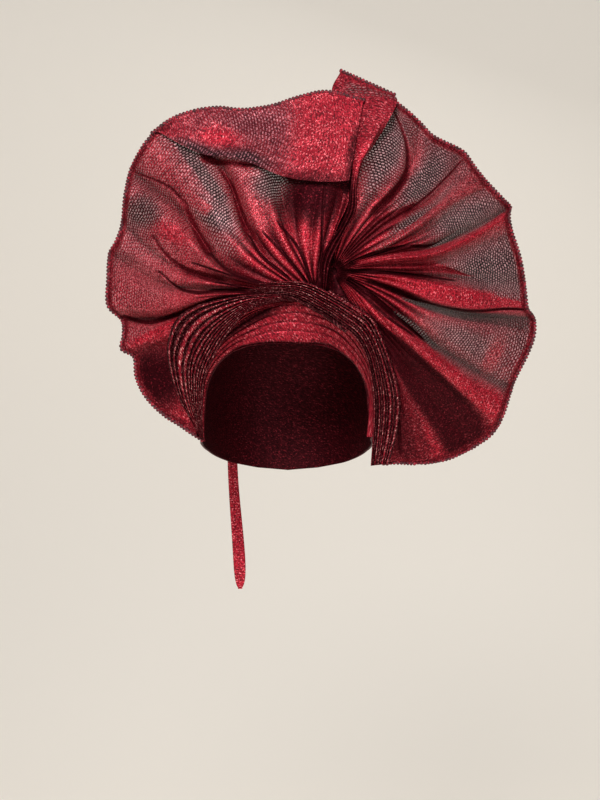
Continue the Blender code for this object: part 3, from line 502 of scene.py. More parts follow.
# Hollow between the crest, the knot and the root of the right fan.
# Columns: left edge x, z and right edge x, z (shares of FAN_REACH), then how far forward the left edge, the
# right edge and the middle lie (shares of KNOT_DEPTH).
HOLLOW = (
    (0.27, 1.4, 0.345, 1.4, 0.86, 0.86, 0.86),
    (0.245, 1.25, 0.345, 1.25, 0.85, 0.85, 0.85),
    (0.225, 1.1, 0.345, 1.08, 0.85, 0.86, 0.84),
    (0.2, 1.0, 0.32, 0.97, 0.88, 0.87, 0.84),
    (0.175, 0.93, 0.3, 0.88, 0.93, 0.9, 0.85),
    (0.18, 0.85, 0.3, 0.81, 1.0, 0.93, 0.87),
    (0.185, 0.785, 0.33, 0.745, 0.98, 0.95, 0.9),
    (0.09, 0.772, 0.335, 0.715, 0.93, 0.94, 0.89),
    (0.01, 0.768, 0.335, 0.7, 0.91, 0.94, 0.9),
    (0.01, 0.762, 0.335, 0.69, 0.96, 0.97, 0.96),
    (0.01, 0.752, 0.335, 0.68, 1.01, 1.0, 1.025),
)
HOLLOW_COLUMNS = 40
HOLLOW_ROWS = 80
HOLLOW_SHADE = 0.9

# Laps of cloth round the cap: how many, how far they drop towards the nape and tilt to one side (in laps),
# the step of each, how they wander, where they crest and how they fade at the rim and at the crown.
CAP_LAPS = 6.0
CAP_LAP_DROP = 2.2
CAP_LAP_TILT = 1.3
CAP_LAP_STEP = 0.0018
CAP_LAP_WANDER = 0.28
CAP_LAP_WAVE = 5.0
CAP_LAP_CREST = 0.85
CAP_LAP_FADES = (0.10, 0.35)
# Painted shade: how far it reaches from the foot of each lap, how deep it is there, on the whole cap and on
# the lining.
CAP_LAP_SHADE_REACH = 0.35
CAP_LAP_SHADE = 0.6
CAP_SHADE = 0.40
CAP_LINING_SHADE = 0.80
CAP_LINING_GAP = 0.0002
MERGE_DISTANCE = 1e-6

# Lower rim of the cap. Columns: turn from the front in degrees, height (share of HEAD_CROWN).
CAP_RIM = (
    (0.0, 0.849),
    (12.0, 0.844),
    (24.0, 0.827),
    (36.0, 0.78),
    (47.0, 0.69),
    (55.0, 0.57),
    (59.0, 0.43),
    (60.0, 0.29),
    (60.5, 0.15),
    (63.0, 0.05),
    (74.0, 0.01),
    (88.0, -0.01),
    (102.0, -0.04),
    (116.0, -0.08),
    (130.0, -0.14),
    (144.0, -0.2),
    (162.0, -0.255),
    (180.0, -0.28),
)

# Strap: its turn from the front is in degrees and its lean in radians.
STRAP_WIDTH = 0.0120
STRAP_DEPTH = 0.0014
STRAP_GAP = 0.0002
STRAP_TURN = 214.0
STRAP_TOP_Z = -0.0080
STRAP_LENGTH = 0.1340
STRAP_SWAY = 0.0075
STRAP_LEAN = 0.85
STRAP_ROWS = 120
STRAP_COLUMNS = 12
STRAP_END_SQUARENESS = 14
STRAP_END_WIDTH = 0.12


def add_object(name, data):
    """Object in the scene's collection."""
    item = bpy.data.objects.new(name, data)
    bpy.context.scene.collection.objects.link(item)
    return item


def curve_through(marks, values, places):
    """Smooth curve through the values at the marks, read at the places."""
    marks = np.asarray(marks, dtype=float)
    values = np.asarray(values, dtype=float)
    places = np.asarray(places, dtype=float)
    slopes = np.gradient(values, marks)
    piece = np.clip(np.searchsorted(marks, places, side="right") - 1, 0, len(marks) - 2)
    width = marks[piece + 1] - marks[piece]
    part = np.clip((places - marks[piece]) / width, 0.0, 1.0)
    start_weight = 2.0 * part**3 - 3.0 * part**2 + 1.0
    start_slope_weight = part**3 - 2.0 * part**2 + part
    end_slope_weight = part**3 - part**2
    curve = start_weight * values[piece]
    curve += start_slope_weight * width * slopes[piece]
    curve += (1.0 - start_weight) * values[piece + 1]
    curve += end_slope_weight * width * slopes[piece + 1]
    return curve


def ease(value):
    """Share that leaves 0 and reaches 1 without a corner."""
    share = np.clip(value, 0.0, 1.0)
    return share * share * (3.0 - 2.0 * share)


def fade_out(value, start, width):
    """Share that leaves 1 at the start and reaches 0 one width further on."""
    return 1.0 - ease((value - start) / width)


def at_depth(flat_x, flat_z, front):
    """Points of a flat front view moved to their own depth along the line of sight."""
    depth = -np.asarray(front, dtype=float)
    spread = (SIGHT_DISTANCE + depth) / (SIGHT_DISTANCE + OUTLINE_PLANE)
    x = SIGHT_X + (flat_x - SIGHT_X) * spread
    z = SIGHT_Z + (flat_z - SIGHT_Z) * spread
    return np.stack((x, depth, z), axis=-1)


def flat_between(edges, share):
    """Place in the flat front view between two edges given as x, z and x, z in shares of FAN_REACH."""
    first_x, first_z, second_x, second_z = edges
    flat_x = FAN_REACH * (first_x + (second_x - first_x) * share)
    flat_z = FAN_REACH * (first_z + (second_z - first_z) * share)
    return flat_x, flat_z


def head_front(x, z, clearance):
    """How far forward the head form lies, grown by a clearance, above a point of the front view."""
    half_width = HEAD_HALF_WIDTH + clearance
    half_length = HEAD_HALF_LENGTH + clearance
    crown = HEAD_CROWN + clearance
    side_share = np.abs(x / half_width) ** HEAD_ROUNDNESS
    height_share = np.abs(np.maximum(z - HEAD_WIDEST_Z, 0.0) / crown) ** HEAD_ROUNDNESS
    rest = np.maximum(1.0 - side_share - height_share, 0.0)
    return half_length * rest ** (1.0 / HEAD_ROUNDNESS)


def head_radius(turn, z, wall):
    """Distance from the upright axis to the head form grown by a wall, at a turn from the front."""
    above = np.maximum(z - HEAD_WIDEST_Z, 0.0) / HEAD_CROWN
    below = np.maximum(HEAD_WIDEST_Z - z, 0.0) / HEAD_BELOW
    level = np.maximum(1.0 - above**HEAD_ROUNDNESS - below**HEAD_ROUNDNESS, 0.0)
    side = np.abs(np.sin(turn) / (HEAD_HALF_WIDTH + wall)) ** HEAD_ROUNDNESS
    ahead = np.abs(np.cos(turn) / (HEAD_HALF_LENGTH + wall)) ** HEAD_ROUNDNESS
    return (level / (side + ahead)) ** (1.0 / HEAD_ROUNDNESS)


def read_rows(table, places):
    """Columns of a table read smoothly at places that count its rows."""
    marks = np.arange(len(table))
    return np.array([curve_through(marks, column, places) for column in np.array(table).T])


def read_along(table, count):
    """Columns of a table read smoothly at an even count of rows."""
    return read_rows(table, np.linspace(0.0, len(table) - 1.0, count))


def fold_profile(heights, places):
    """Heights between fold lines: ridges come out round and grooves come out sharp."""
    heights = np.asarray(heights, dtype=float)
    piece = np.clip(places.astype(int), 0, len(heights) - 2)
    part = places - piece
    start = heights[piece]
    end = heights[piece + 1]
    falling = part**RIDGE_ROUNDNESS
    rising = 1.0 - (1.0 - part) ** RIDGE_ROUNDNESS
    return start + (end - start) * np.where(end < start, falling, rising)


def pleat_profile(turns):
    """Heights of even pleats from -1 to 1: round on top, with a sharp groove at each whole turn."""
    return 1.0 - 2.0 * np.abs(2.0 * (turns % 1.0) - 1.0) ** RIDGE_ROUNDNESS


def rumple(points, size):
    """Uneven value between about -1 and 1 at each point, the same on every run."""
    flat = points.reshape(-1, 3) / size
    values = [noise.noise(Vector(point)) + 0.5 * noise.noise(Vector(point * 2.3)) for point in flat]
    return np.array(values).reshape(points.shape[:-1])


def rumple_at(*places):
    """Uneven value at places given one axis at a time."""
    return rumple(np.stack(np.broadcast_arrays(*places), axis=-1), 1.0)


def rumpled(points, height_share=1.0, size_share=1.0):
    """Grid of points that lies unevenly, by a share of the usual height and size."""
    points[..., 1] -= height_share * RUMPLE_HEIGHT * rumple(points, size_share * RUMPLE_SIZE)
    return points


def cloth_lengths(points):
    """Distance across the rows and along the columns of a grid of points, both in metres."""
    across = np.linalg.norm(np.diff(points, axis=0), axis=-1)
    along = np.linalg.norm(np.diff(points, axis=1), axis=-1)
    across = np.concatenate((np.zeros((1, points.shape[1])), np.cumsum(across, axis=0)))
    along = np.concatenate((np.zeros((points.shape[0], 1)), np.cumsum(along, axis=1)), axis=1)
    return across, along


def grid_piece(name, points, cover, shade, material, cloth_u=None, closed=False):
    """Sheet from a grid of points, with its place on the cloth, its cover and its depth of shade."""
    columns, rows, _ = points.shape
    across, cloth_v = cloth_lengths(points)
    if cloth_u is None:
        cloth_u = across
    faces = []
    last = columns if closed else columns - 1
    for column in range(last):
        after = (column + 1) % columns
        for row in range(rows - 1):
            faces.append((
                column * rows + row,
                after * rows + row,
                after * rows + row + 1,
                column * rows + row + 1,
            ))
    mesh = bpy.data.meshes.new(name)
    mesh.from_pydata([tuple(point) for point in points.reshape(-1, 3)], [], faces)
    corner_points = np.empty(len(mesh.loops), dtype=int)
    mesh.loops.foreach_get("vertex_index", corner_points)
    cloth_map = mesh.uv_layers.new(name="cloth")
    places = np.stack((cloth_u.reshape(-1)[corner_points], cloth_v.reshape(-1)[corner_points]), axis=-1)
    cloth_map.data.foreach_set("uv", places.reshape(-1))
    for label, values in (("cover", cover), ("shade", shade)):
        attribute = mesh.attributes.new(label, "FLOAT", "POINT")
        attribute.data.foreach_set("value", np.broadcast_to(values, points.shape[:2]).reshape(-1))
    mesh.materials.append(material)
    mesh.shade_smooth()
    return add_object(name, mesh)


def draw_lines(lines, radius_share, angle, front, cover, shade):
    """Adds creases and ridges to a fan's grids, each fading out at its ends, with painted shade or lit cloth
    along each.
    """
    for lift, inner_width, outer_width, line_cover, line_shade, lap_side, marks in lines:
        marks = sorted(marks)
        places = [mark[0] for mark in marks]
        middle = curve_through(places, [mark[1] for mark in marks], radius_share)
        half_width = np.interp(radius_share, (places[0], places[-1]), (inner_width, outer_width)) / 1000.0
        offset = np.radians(angle - middle) * radius_share * FAN_REACH / half_width
        ends = ease((radius_share - places[0] + LINE_FADE) / LINE_FADE)
        ends *= ease((places[-1] + LINE_FADE - radius_share) / LINE_FADE)
        bend = fade_out(np.abs(offset), *LINE_BEND) * ends
        lap = fade_out(np.abs(lap_side * offset - LAP_PLACE), 0.0, LAP_REACH) * ends * abs(lap_side)
        front += lift * LINE_HEIGHT * (bend - LAP_HEIGHT * lap)
        # Painted shade along the line, or lit cloth where its shade is 0.
        strength = fade_out(np.abs(offset), *LINE_SHADE_FADE) * ends
        cover += (line_cover - cover) * strength
        shade += (line_shade - shade) * strength


def lay_patches(patches, radius_share, angle, cover, shade):
    """Opens or closes the net of a fan's grids, and paints shade on them, in rounded patches."""
    for radius_middle, angle_middle, half_length, half_degrees, patch_cover, patch_shade in patches:
        along = (radius_share - radius_middle) / half_length
        across = (angle - angle_middle) / half_degrees
        strength = fade_out(np.hypot(along, across), *PATCH_EDGE)
        cover += (patch_cover - cover) * strength
        shade += (patch_shade - shade) * strength


def fan_grid(folds, gather, root, lines, patches):
    """Fine grid of points over a fan, with its cover and its depth of shade."""
    root_radius, root_front, shoulder_front = root
    column_count = (len(folds) - 1) * FAN_COLUMNS_PER_FOLD + 1
    places = np.linspace(0.0, len(folds) - 1.0, column_count)
    heights = fold_profile([fold[0] for fold in folds], places)
    _, reach, *stations = read_rows(folds, places)
    stations = np.array(stations)
    shares = np.linspace(0.0, 1.0, FAN_ROWS)
    front = np.empty((column_count, FAN_ROWS))
    cover = np.empty_like(front)
    shade = np.empty_like(front)
    angles = np.empty_like(front)
    radii = np.empty_like(front)
    for column in range(column_count):
        rim_radius = reach[column] * FAN_REACH
        radius = root_radius + (rim_radius - root_radius) * shares
        radius_share = radius / FAN_REACH
        marks = (*ANGLE_STATIONS, reach[column])
        angle = curve_through(marks, stations[:5, column], radius_share)
        front_marks = (root_radius / FAN_REACH, SHOULDER_STATION, MIDDLE_STATION, reach[column])
        front_values = (root_front, shoulder_front, stations[5, column], stations[6, column])
        growth = ease((radius - root_radius) / FOLD_START)
        settling = 1.0 - RIM_SETTLING * ease((radius - rim_radius + RIM_EASE) / RIM_EASE)
        fine = ease((radius - root_radius) / FINE_PLEAT_START)
        fine *= fade_out(radius, FINE_PLEAT_FADE, FINE_PLEAT_LENGTH)
        pleat = pleat_profile(places[column] + 0.5)
        front[column] = KNOT_DEPTH * curve_through(front_marks, front_values, radius_share)
        front[column] += heights[column] * FOLD_HEIGHT * growth * settling
        front[column] += pleat * FINE_PLEAT_HEIGHT * fine
        angles[column] = angle
        radii[column] = radius
        near, middle, rim = np.clip(stations[7:10, column], 0.0, 1.0)
        cover[column] = np.interp(radius_share, (*COVER_STATIONS, reach[column]), (near, middle, rim))
        groove = ease(-heights[column]) * growth
        fine_groove = (0.5 - 0.5 * pleat) * fine
        root_shade = fade_out(radius - root_radius, 0.5 * ROOT_SHADE_REACH, ROOT_SHADE_REACH)
        grooves = GROOVE_SHADE * groove + FINE_GROOVE_SHADE * fine_groove
        shade[column] = np.clip(grooves + root_shade, 0.0, 1.0)
    lay_patches(patches, radii / FAN_REACH, angles, cover, shade)
    draw_lines(lines, radii / FAN_REACH, angles, front, cover, shade)
    edge_band = ease((radii - radii[:, -1:] + EDGE_BAND_WIDTH) / EDGE_BAND_BLEND)
    cover += (1.0 - cover) * edge_band
    shade += (EDGE_SHADE - shade) * edge_band
    flat_x = gather[0] + radii * np.cos(np.radians(angles))
    flat_z = gather[1] + radii * np.sin(np.radians(angles))
    loose = ease((shares - TIGHT_SHARE) / LOOSENING_SHARE)
    return rumpled(at_depth(flat_x, flat_z, front), loose), cover, shade


def fan_piece(name, folds, gather, root, lines, patches, material):
    """Fan of net, and its grid of points."""
    points, cover, shade = fan_grid(folds, gather, root, lines, patches)
    widest = np.linalg.norm(np.diff(points, axis=0), axis=-1).max(axis=1)
    across = np.concatenate(((0.0,), np.cumsum(widest)))
    cloth_u = np.repeat(across[:, None], points.shape[1], axis=1)
    return grid_piece(name, points, cover, shade, material, cloth_u), points


def front_on_cap(flat_x, flat_z):
    """How far forward cloth lies where it rests on the cap."""
    front = np.zeros(len(flat_x))
    for _ in range(SEAT_ROUNDS):
        place = at_depth(flat_x, flat_z, front)
        front = head_front(place[:, 0], place[:, 2], CAP_WALL + BAND_GAP) + CLOTH_DEPTH
    return front


def band_piece(material):
    """Forehead band of lapped pleats, tucked under itself along the temples."""
    *edges, outer_front = read_along(BAND, BAND_ROWS)
    face_x, face_z, _, _ = edges
    face_front = front_on_cap(face_x * FAN_REACH, face_z * FAN_REACH)
    fade = np.linspace(0.0, BAND_LAP_WANDER, BAND_ROWS)
    left_side = ease((WRAP_SHADOW_START - face_x) / WRAP_SHADOW_GROWTH)
    columns = []
    shades = []
    tuck = BAND_TUCK_SHARE * (BROW_TUCK + (1.0 - BROW_TUCK) * ease(np.abs(face_x) / BAND_TUCK_START))
    for part in np.linspace(1.0, 0.0, BAND_TUCK_COLUMNS, endpoint=False):
        flat_x, flat_z = flat_between(edges, tuck * part)
        columns.append(at_depth(flat_x, flat_z, front_on_cap(flat_x, flat_z)))
        shades.append(np.full(BAND_ROWS, HEM_SHADE))
    for lap in range(len(BAND_EDGES) - 1):
        wander = 0.5 + LAP_LINE_SWING * rumple_at(fade, 0.0, LAP_NOISE_STEP * lap)
        for part in np.linspace(0.0, 1.0, BAND_COLUMNS_PER_LAP, endpoint=False):
            rise = part / LAP_CREST if part < LAP_CREST else (1.0 - part) / (1.0 - LAP_CREST)
            rise = 1.0 - (1.0 - rise) ** RIDGE_ROUNDNESS if part > 0.0 else 0.0
            share = BAND_EDGES[lap] + (BAND_EDGES[lap + 1] - BAND_EDGES[lap]) * part
            flat_x, flat_z = flat_between(edges, share)
            front = face_front + (KNOT_DEPTH * outer_front - face_front) * share
            columns.append(at_depth(flat_x, flat_z, front + rise * BAND_LAP_STEP))
            # Painted shade at the foot of each lap, and the painted shadow of the left wrap.
            line = np.clip(wander, LAP_LINE_LEAST, 1.0) * max(0.0, 1.0 - LAP_LINE_FALL * rise)
            under_wrap = WRAP_SHADOW * left_side * (1.0 - fade_out(share, *WRAP_SHADOW_EDGE))
            shades.append(np.clip(BAND_SHADE + LAP_LINE_SHADE * line + under_wrap, 0.0, 1.0))
    points = rumpled(np.array(columns), *BAND_RUMPLE)
    across, _ = cloth_lengths(points)
    across = across - across[BAND_TUCK_COLUMNS]
    return grid_piece("band_of_lapped_pleats", points, 1.0, np.array(shades), material, across), points


def wrap_piece(name, table, pleats, material, under=None):
    """Wrap of fine pleats side by side, its inner edge turned back to the cloth under it."""
    *edges, front_share = read_along(table, WRAP_ROWS)
    along_share = np.linspace(0.0, 1.0, WRAP_ROWS)
    swell = np.sin(np.pi * np.linspace(*WRAP_SWELL_SPAN, WRAP_ROWS)) ** 0.5
    widths, grooves, dims = np.array(pleats).T
    pleat_ends = np.concatenate(((0.0,), np.cumsum(widths) / np.sum(widths)))
    columns = []
    shades = []
    for step in range(len(pleats) * WRAP_COLUMNS_PER_PLEAT + 1):
        place = step / WRAP_COLUMNS_PER_PLEAT
        pleat = min(int(place), len(pleats) - 1)
        share = np.interp(place, np.arange(len(pleat_ends)), pleat_ends)
        wander = rumple_at(PLEAT_NOISE_STEP * share, WRAP_WANDER_TURNS * along_share, 0.0)
        share = share + WRAP_WANDER * math.sin(math.pi * share) * wander
        flat_x, flat_z = flat_between(edges, share)
        ridge = pleat_profile(place)
        height = WRAP_PLEAT_HEIGHT * min(1.0, widths[pleat] / np.mean(widths))
        front = KNOT_DEPTH * front_share + ridge * height * swell
        columns.append(at_depth(flat_x, flat_z, front))
        # Painted shade: black in each groove, and dimmer on some ridges.
        lit = ease((0.5 + 0.5 * ridge - grooves[pleat]) / PLEAT_SHADE_FADE) * (1.0 - dims[pleat])
        shades.append(np.full(WRAP_ROWS, 1.0 - lit))
    if under is not None:
        seat = under.reshape(-1, 3)
        flat_steps = columns[-1][:, None, (0, 2)] - seat[None, :, (0, 2)]
        nearest = np.argmin(np.linalg.norm(flat_steps, axis=-1), axis=1)
        hem_front = np.minimum(HEM_GAP - seat[nearest, 1], front - HEM_GAP)
        for part in np.linspace(0.0, 1.0, HEM_COLUMNS + 1)[1:]:
            columns.append(at_depth(flat_x, flat_z, front + (hem_front - front) * part))
            shades.append(np.full(WRAP_ROWS, HEM_SHADE))
    return grid_piece(name, np.array(columns), 1.0, np.array(shades), material)


def flap_piece(material):
    """Fold that hangs over the top of the left fan."""
    *edges, top_front, lower_front, cover = read_along(TOP_FOLD, FLAP_COLUMNS)
    columns = []
    for share in np.linspace(0.0, 1.0, FLAP_ROWS):
        flat_x, flat_z = flat_between(edges, share)
        front = KNOT_DEPTH * (top_front + (lower_front - top_front) * share)
        columns.append(at_depth(flat_x, flat_z, front))
    points = rumpled(np.array(columns))
    covers = np.repeat(np.clip(cover, 0.0, 1.0)[None, :], FLAP_ROWS, axis=0)
    shades = np.full(covers.shape, FLAP_SHADE)
    down = np.linspace(0.0, 1.0, FLAP_ROWS)
    down, beside = np.meshgrid(down, np.linspace(0.0, 100.0, FLAP_COLUMNS), indexing="ij")
    lay_patches(FLAP_PATCHES, down, beside, covers, shades)
    return grid_piece("fold_over_left_fan", points, covers, shades, material), points


def crest_piece(material):
    """Standing folded end between the fans."""
    *edges, left_front, right_front = read_along(CREST, CREST_ROWS)
    rise = np.linspace(0.0, 1.0, CREST_ROWS)
    columns = []
    shades = []
    covers = []
    for share in np.linspace(0.0, 1.0, CREST_COLUMNS):
        flat_x, flat_z = flat_between(edges, share)
        front = KNOT_DEPTH * (left_front + (right_front - left_front) * share)
        front = front + CREST_BOW * math.sin(math.pi * share) * ease(CREST_BOW_GROWTH * rise)
        pleat = pleat_profile(CREST_PLEATS * share)
        gathered = fade_out(rise, *CREST_GATHER)
        turned_back = fade_out(min(share, 1.0 - share), 0.0, CREST_TUCK_WIDTH)
        turned_back = turned_back * fade_out(rise, *CREST_TUCK_END)
        front = front - CREST_TUCK * turned_back
        front = front + CREST_PLEAT_HEIGHT * pleat * gathered
        columns.append(at_depth(flat_x, flat_z, front))
        groove = (0.5 - 0.5 * pleat) * gathered + CREST_GATHER_SHADE * gathered
        left_crease = fade_out(share, *CREST_CREASE) * fade_out(rise, *CREST_CREASE_END)
        shades.append(np.clip(CREST_SHADE + groove + CREST_CREASE_SHADE * left_crease, 0.0, 1.0))
        open_band = ease((rise - CREST_OPEN[0]) / CREST_OPEN_BLEND)
        open_band = open_band * ease((CREST_OPEN[1] - rise) / CREST_OPEN_BLEND)
        covers.append(1.0 - CREST_OPENNESS * open_band * (1.0 - fade_out(share, *CREST_OPEN_SIDE)))
    shades = np.array(shades)
    covers = np.array(covers)
    beside, up = np.meshgrid(np.linspace(0.0, 100.0, CREST_COLUMNS), rise, indexing="ij")
    lay_patches(CREST_PATCHES, up, beside, covers, shades)
    points = rumpled(np.array(columns), *CREST_RUMPLE)
    return grid_piece("standing_crest", points, covers, shades, material), points


def hollow_piece(material):
    """Deep fold of cloth that closes the hollow behind the knot, painted in deep shade."""
    *edges, left_front, right_front, middle = read_along(HOLLOW, HOLLOW_ROWS)
    columns = []
    for share in np.linspace(0.0, 1.0, HOLLOW_COLUMNS):
        flat_x, flat_z = flat_between(edges, share)
        sides = left_front + (right_front - left_front) * share
        front = KNOT_DEPTH * (sides + (middle - sides) * math.sin(math.pi * share))
        columns.append(at_depth(flat_x, flat_z, front))
    return grid_piece("deep_fold_behind_knot", np.array(columns), 1.0, HOLLOW_SHADE, material)


def cap_piece(material):
    """Cap of cloth over the head form."""
    turns, heights = np.array(CAP_RIM).T
    turns = np.concatenate((turns, 360.0 - turns[-2::-1]))
    heights = np.concatenate((heights, heights[-2::-1]))
    even_turns = np.linspace(0.0, 360.0, CAP_SIDES, endpoint=False)
    rim_z = np.interp(even_turns, turns, heights) * HEAD_CROWN
    top_z = HEAD_WIDEST_Z + HEAD_CROWN
    turn = np.radians(even_turns)
    inner_rows = []
    outer_rows = []
    shades = []
    for row in range(CAP_ROWS):
        share = row / (CAP_ROWS - 1.0)
        z = rim_z + (top_z - rim_z) * math.sin(share * math.pi / 2.0)
        above = np.maximum(z - HEAD_WIDEST_Z, 0.0) / HEAD_CROWN
        lining = head_radius(turn, z, CAP_LINING_GAP)
        inner_rows.append(np.stack((lining * np.sin(turn), -lining * np.cos(turn), z), axis=-1))
        back = np.sin(0.5 * turn)
        wander = CAP_LAP_WANDER * np.sin(2.0 * turn + CAP_LAP_WAVE * share)
        place = CAP_LAPS * share + CAP_LAP_DROP * back**2 + CAP_LAP_TILT * np.sin(turn) * back + wander
        part = place % 1.0
        lap = np.where(part < CAP_LAP_CREST, part / CAP_LAP_CREST, (1.0 - part) / (1.0 - CAP_LAP_CREST))
        seen = ease(share / CAP_LAP_FADES[0]) * ease((1.0 - share) / CAP_LAP_FADES[1])
        radius = head_radius(turn, z, CAP_WALL) + CAP_LAP_STEP * lap * seen
        grown_z = z + CAP_WALL * above * float(ease(CAP_RIM_GROWTH * share))
        outer_rows.append(np.stack((radius * np.sin(turn), -radius * np.cos(turn), grown_z), axis=-1))
        # Painted shade darkens the foot of each lap.
        shades.append(np.clip(CAP_SHADE + CAP_LAP_SHADE * seen * fade_out(lap, 0.0, CAP_LAP_SHADE_REACH), 0.0, 1.0))
    inner_rows[-1][:, :2] = 0.0
    outer_rows[-1][:, :2] = 0.0
    points = np.array(inner_rows[::-1] + outer_rows).transpose(1, 0, 2)
    shades = np.concatenate((np.full((CAP_ROWS, CAP_SIDES), CAP_LINING_SHADE), np.array(shades))).T
    piece = grid_piece("cap_of_cloth", points, 1.0, shades, material, closed=True)
    surface = bmesh.new()
    surface.from_mesh(piece.data)
    bmesh.ops.remove_doubles(surface, verts=surface.verts, dist=MERGE_DISTANCE)
    surface.to_mesh(piece.data)
    surface.free()
    return piece


def strap_piece(material):
    """Narrow strap that hangs from the back of the cap."""
    turn = math.radians(STRAP_TURN)
    radius = float(head_radius(turn, STRAP_TOP_Z, CAP_WALL)) + STRAP_GAP + 0.5 * STRAP_DEPTH
    top_x = radius * math.sin(turn)
    top_y = -radius * math.cos(turn)
    share = np.linspace(0.0, 1.0, STRAP_ROWS)
    half = 0.5 * STRAP_WIDTH * np.sqrt(np.maximum(1.0 - share**STRAP_END_SQUARENESS, STRAP_END_WIDTH))
    lean = STRAP_LEAN * (1.0 - share**2)
    columns = []
    for across in np.linspace(-1.0, 1.0, STRAP_COLUMNS):
        x = top_x + STRAP_SWAY * ease(share) + across * half * np.cos(lean)
        y = top_y + across * half * np.sin(lean)
        columns.append(np.stack((x, y, STRAP_TOP_Z - STRAP_LENGTH * share), axis=-1))
    piece = grid_piece("nape_strap_of_cloth", np.array(columns), 1.0, 0.0, material)
    wall = piece.modifiers.new("wall", "SOLIDIFY")
    wall.thickness = STRAP_DEPTH
    wall.offset = 0.0
    return piece


def linear(hex_color):
    """Linear red, green, blue and alpha of an sRGB hex color."""
    parts = [int(hex_color[place:place + 2], 16) / 255.0 for place in (0, 2, 4)]
    return [part / 12.92 if part <= 0.04045 else ((part + 0.055) / 1.055) ** 2.4 for part in parts] + [1.0]


def add_node(tree, kind, settings=None, inputs=None):
    """Node with its settings, its typed values and the sockets that feed it."""
    node = tree.nodes.new(kind)
    for setting, value in (settings or {}).items():
        setattr(node, setting, value)
    for name, value in (inputs or {}).items():
        if isinstance(value, bpy.types.NodeSocket):
            tree.links.new(value, node.inputs[name])
        else:
            node.inputs[name].default_value = value
    return node


def math_value(tree, operation, *values, clamp=False):
    """Result of a Math node."""
    settings = {"operation": operation, "use_clamp": clamp}
    return add_node(tree, "ShaderNodeMath", settings, dict(enumerate(values))).outputs[0]


def vector_value(tree, operation, *values):
    """Result of a Vector Math node."""
    settings = {"operation": operation}
    return add_node(tree, "ShaderNodeVectorMath", settings, dict(enumerate(values))).outputs[0]


def new_material(name):
    """Material, its node tree and its surface shader."""
    material = bpy.data.materials.new(name)
    material.use_nodes = True
    return material, material.node_tree, material.node_tree.nodes["Principled BSDF"]


def add_relief(tree, shader, height):
    """Bump of thread height on a surface."""
    bump = add_node(
        tree, "ShaderNodeBump", {}, {"Height": height, "Strength": RELIEF_STRENGTH, "Distance": RELIEF_DEPTH}
    )
    tree.links.new(bump.outputs["Normal"], shader.inputs["Normal"])


def color_ramp(tree, value, stops):
    """Color Ramp node read at a value, from stops of position and sRGB hex color."""
    ramp = add_node(tree, "ShaderNodeValToRGB", {}, {"Fac": value})
    elements = ramp.color_ramp.elements
    elements[0].position, elements[1].position = stops[0][0], stops[-1][0]
    elements[0].color, elements[1].color = linear(stops[0][1]), linear(stops[-1][1])
    for position, color in stops[1:-1]:
        element = elements.new(position)
        element.color = linear(color)
    return ramp.outputs["Color"]


def mixed_colors(tree, share, first, second):
    """Color between two others."""
    mix = add_node(tree, "ShaderNodeMix", {"data_type": "RGBA"}, {0: share, 6: first, 7: second})
    return mix.outputs[2]


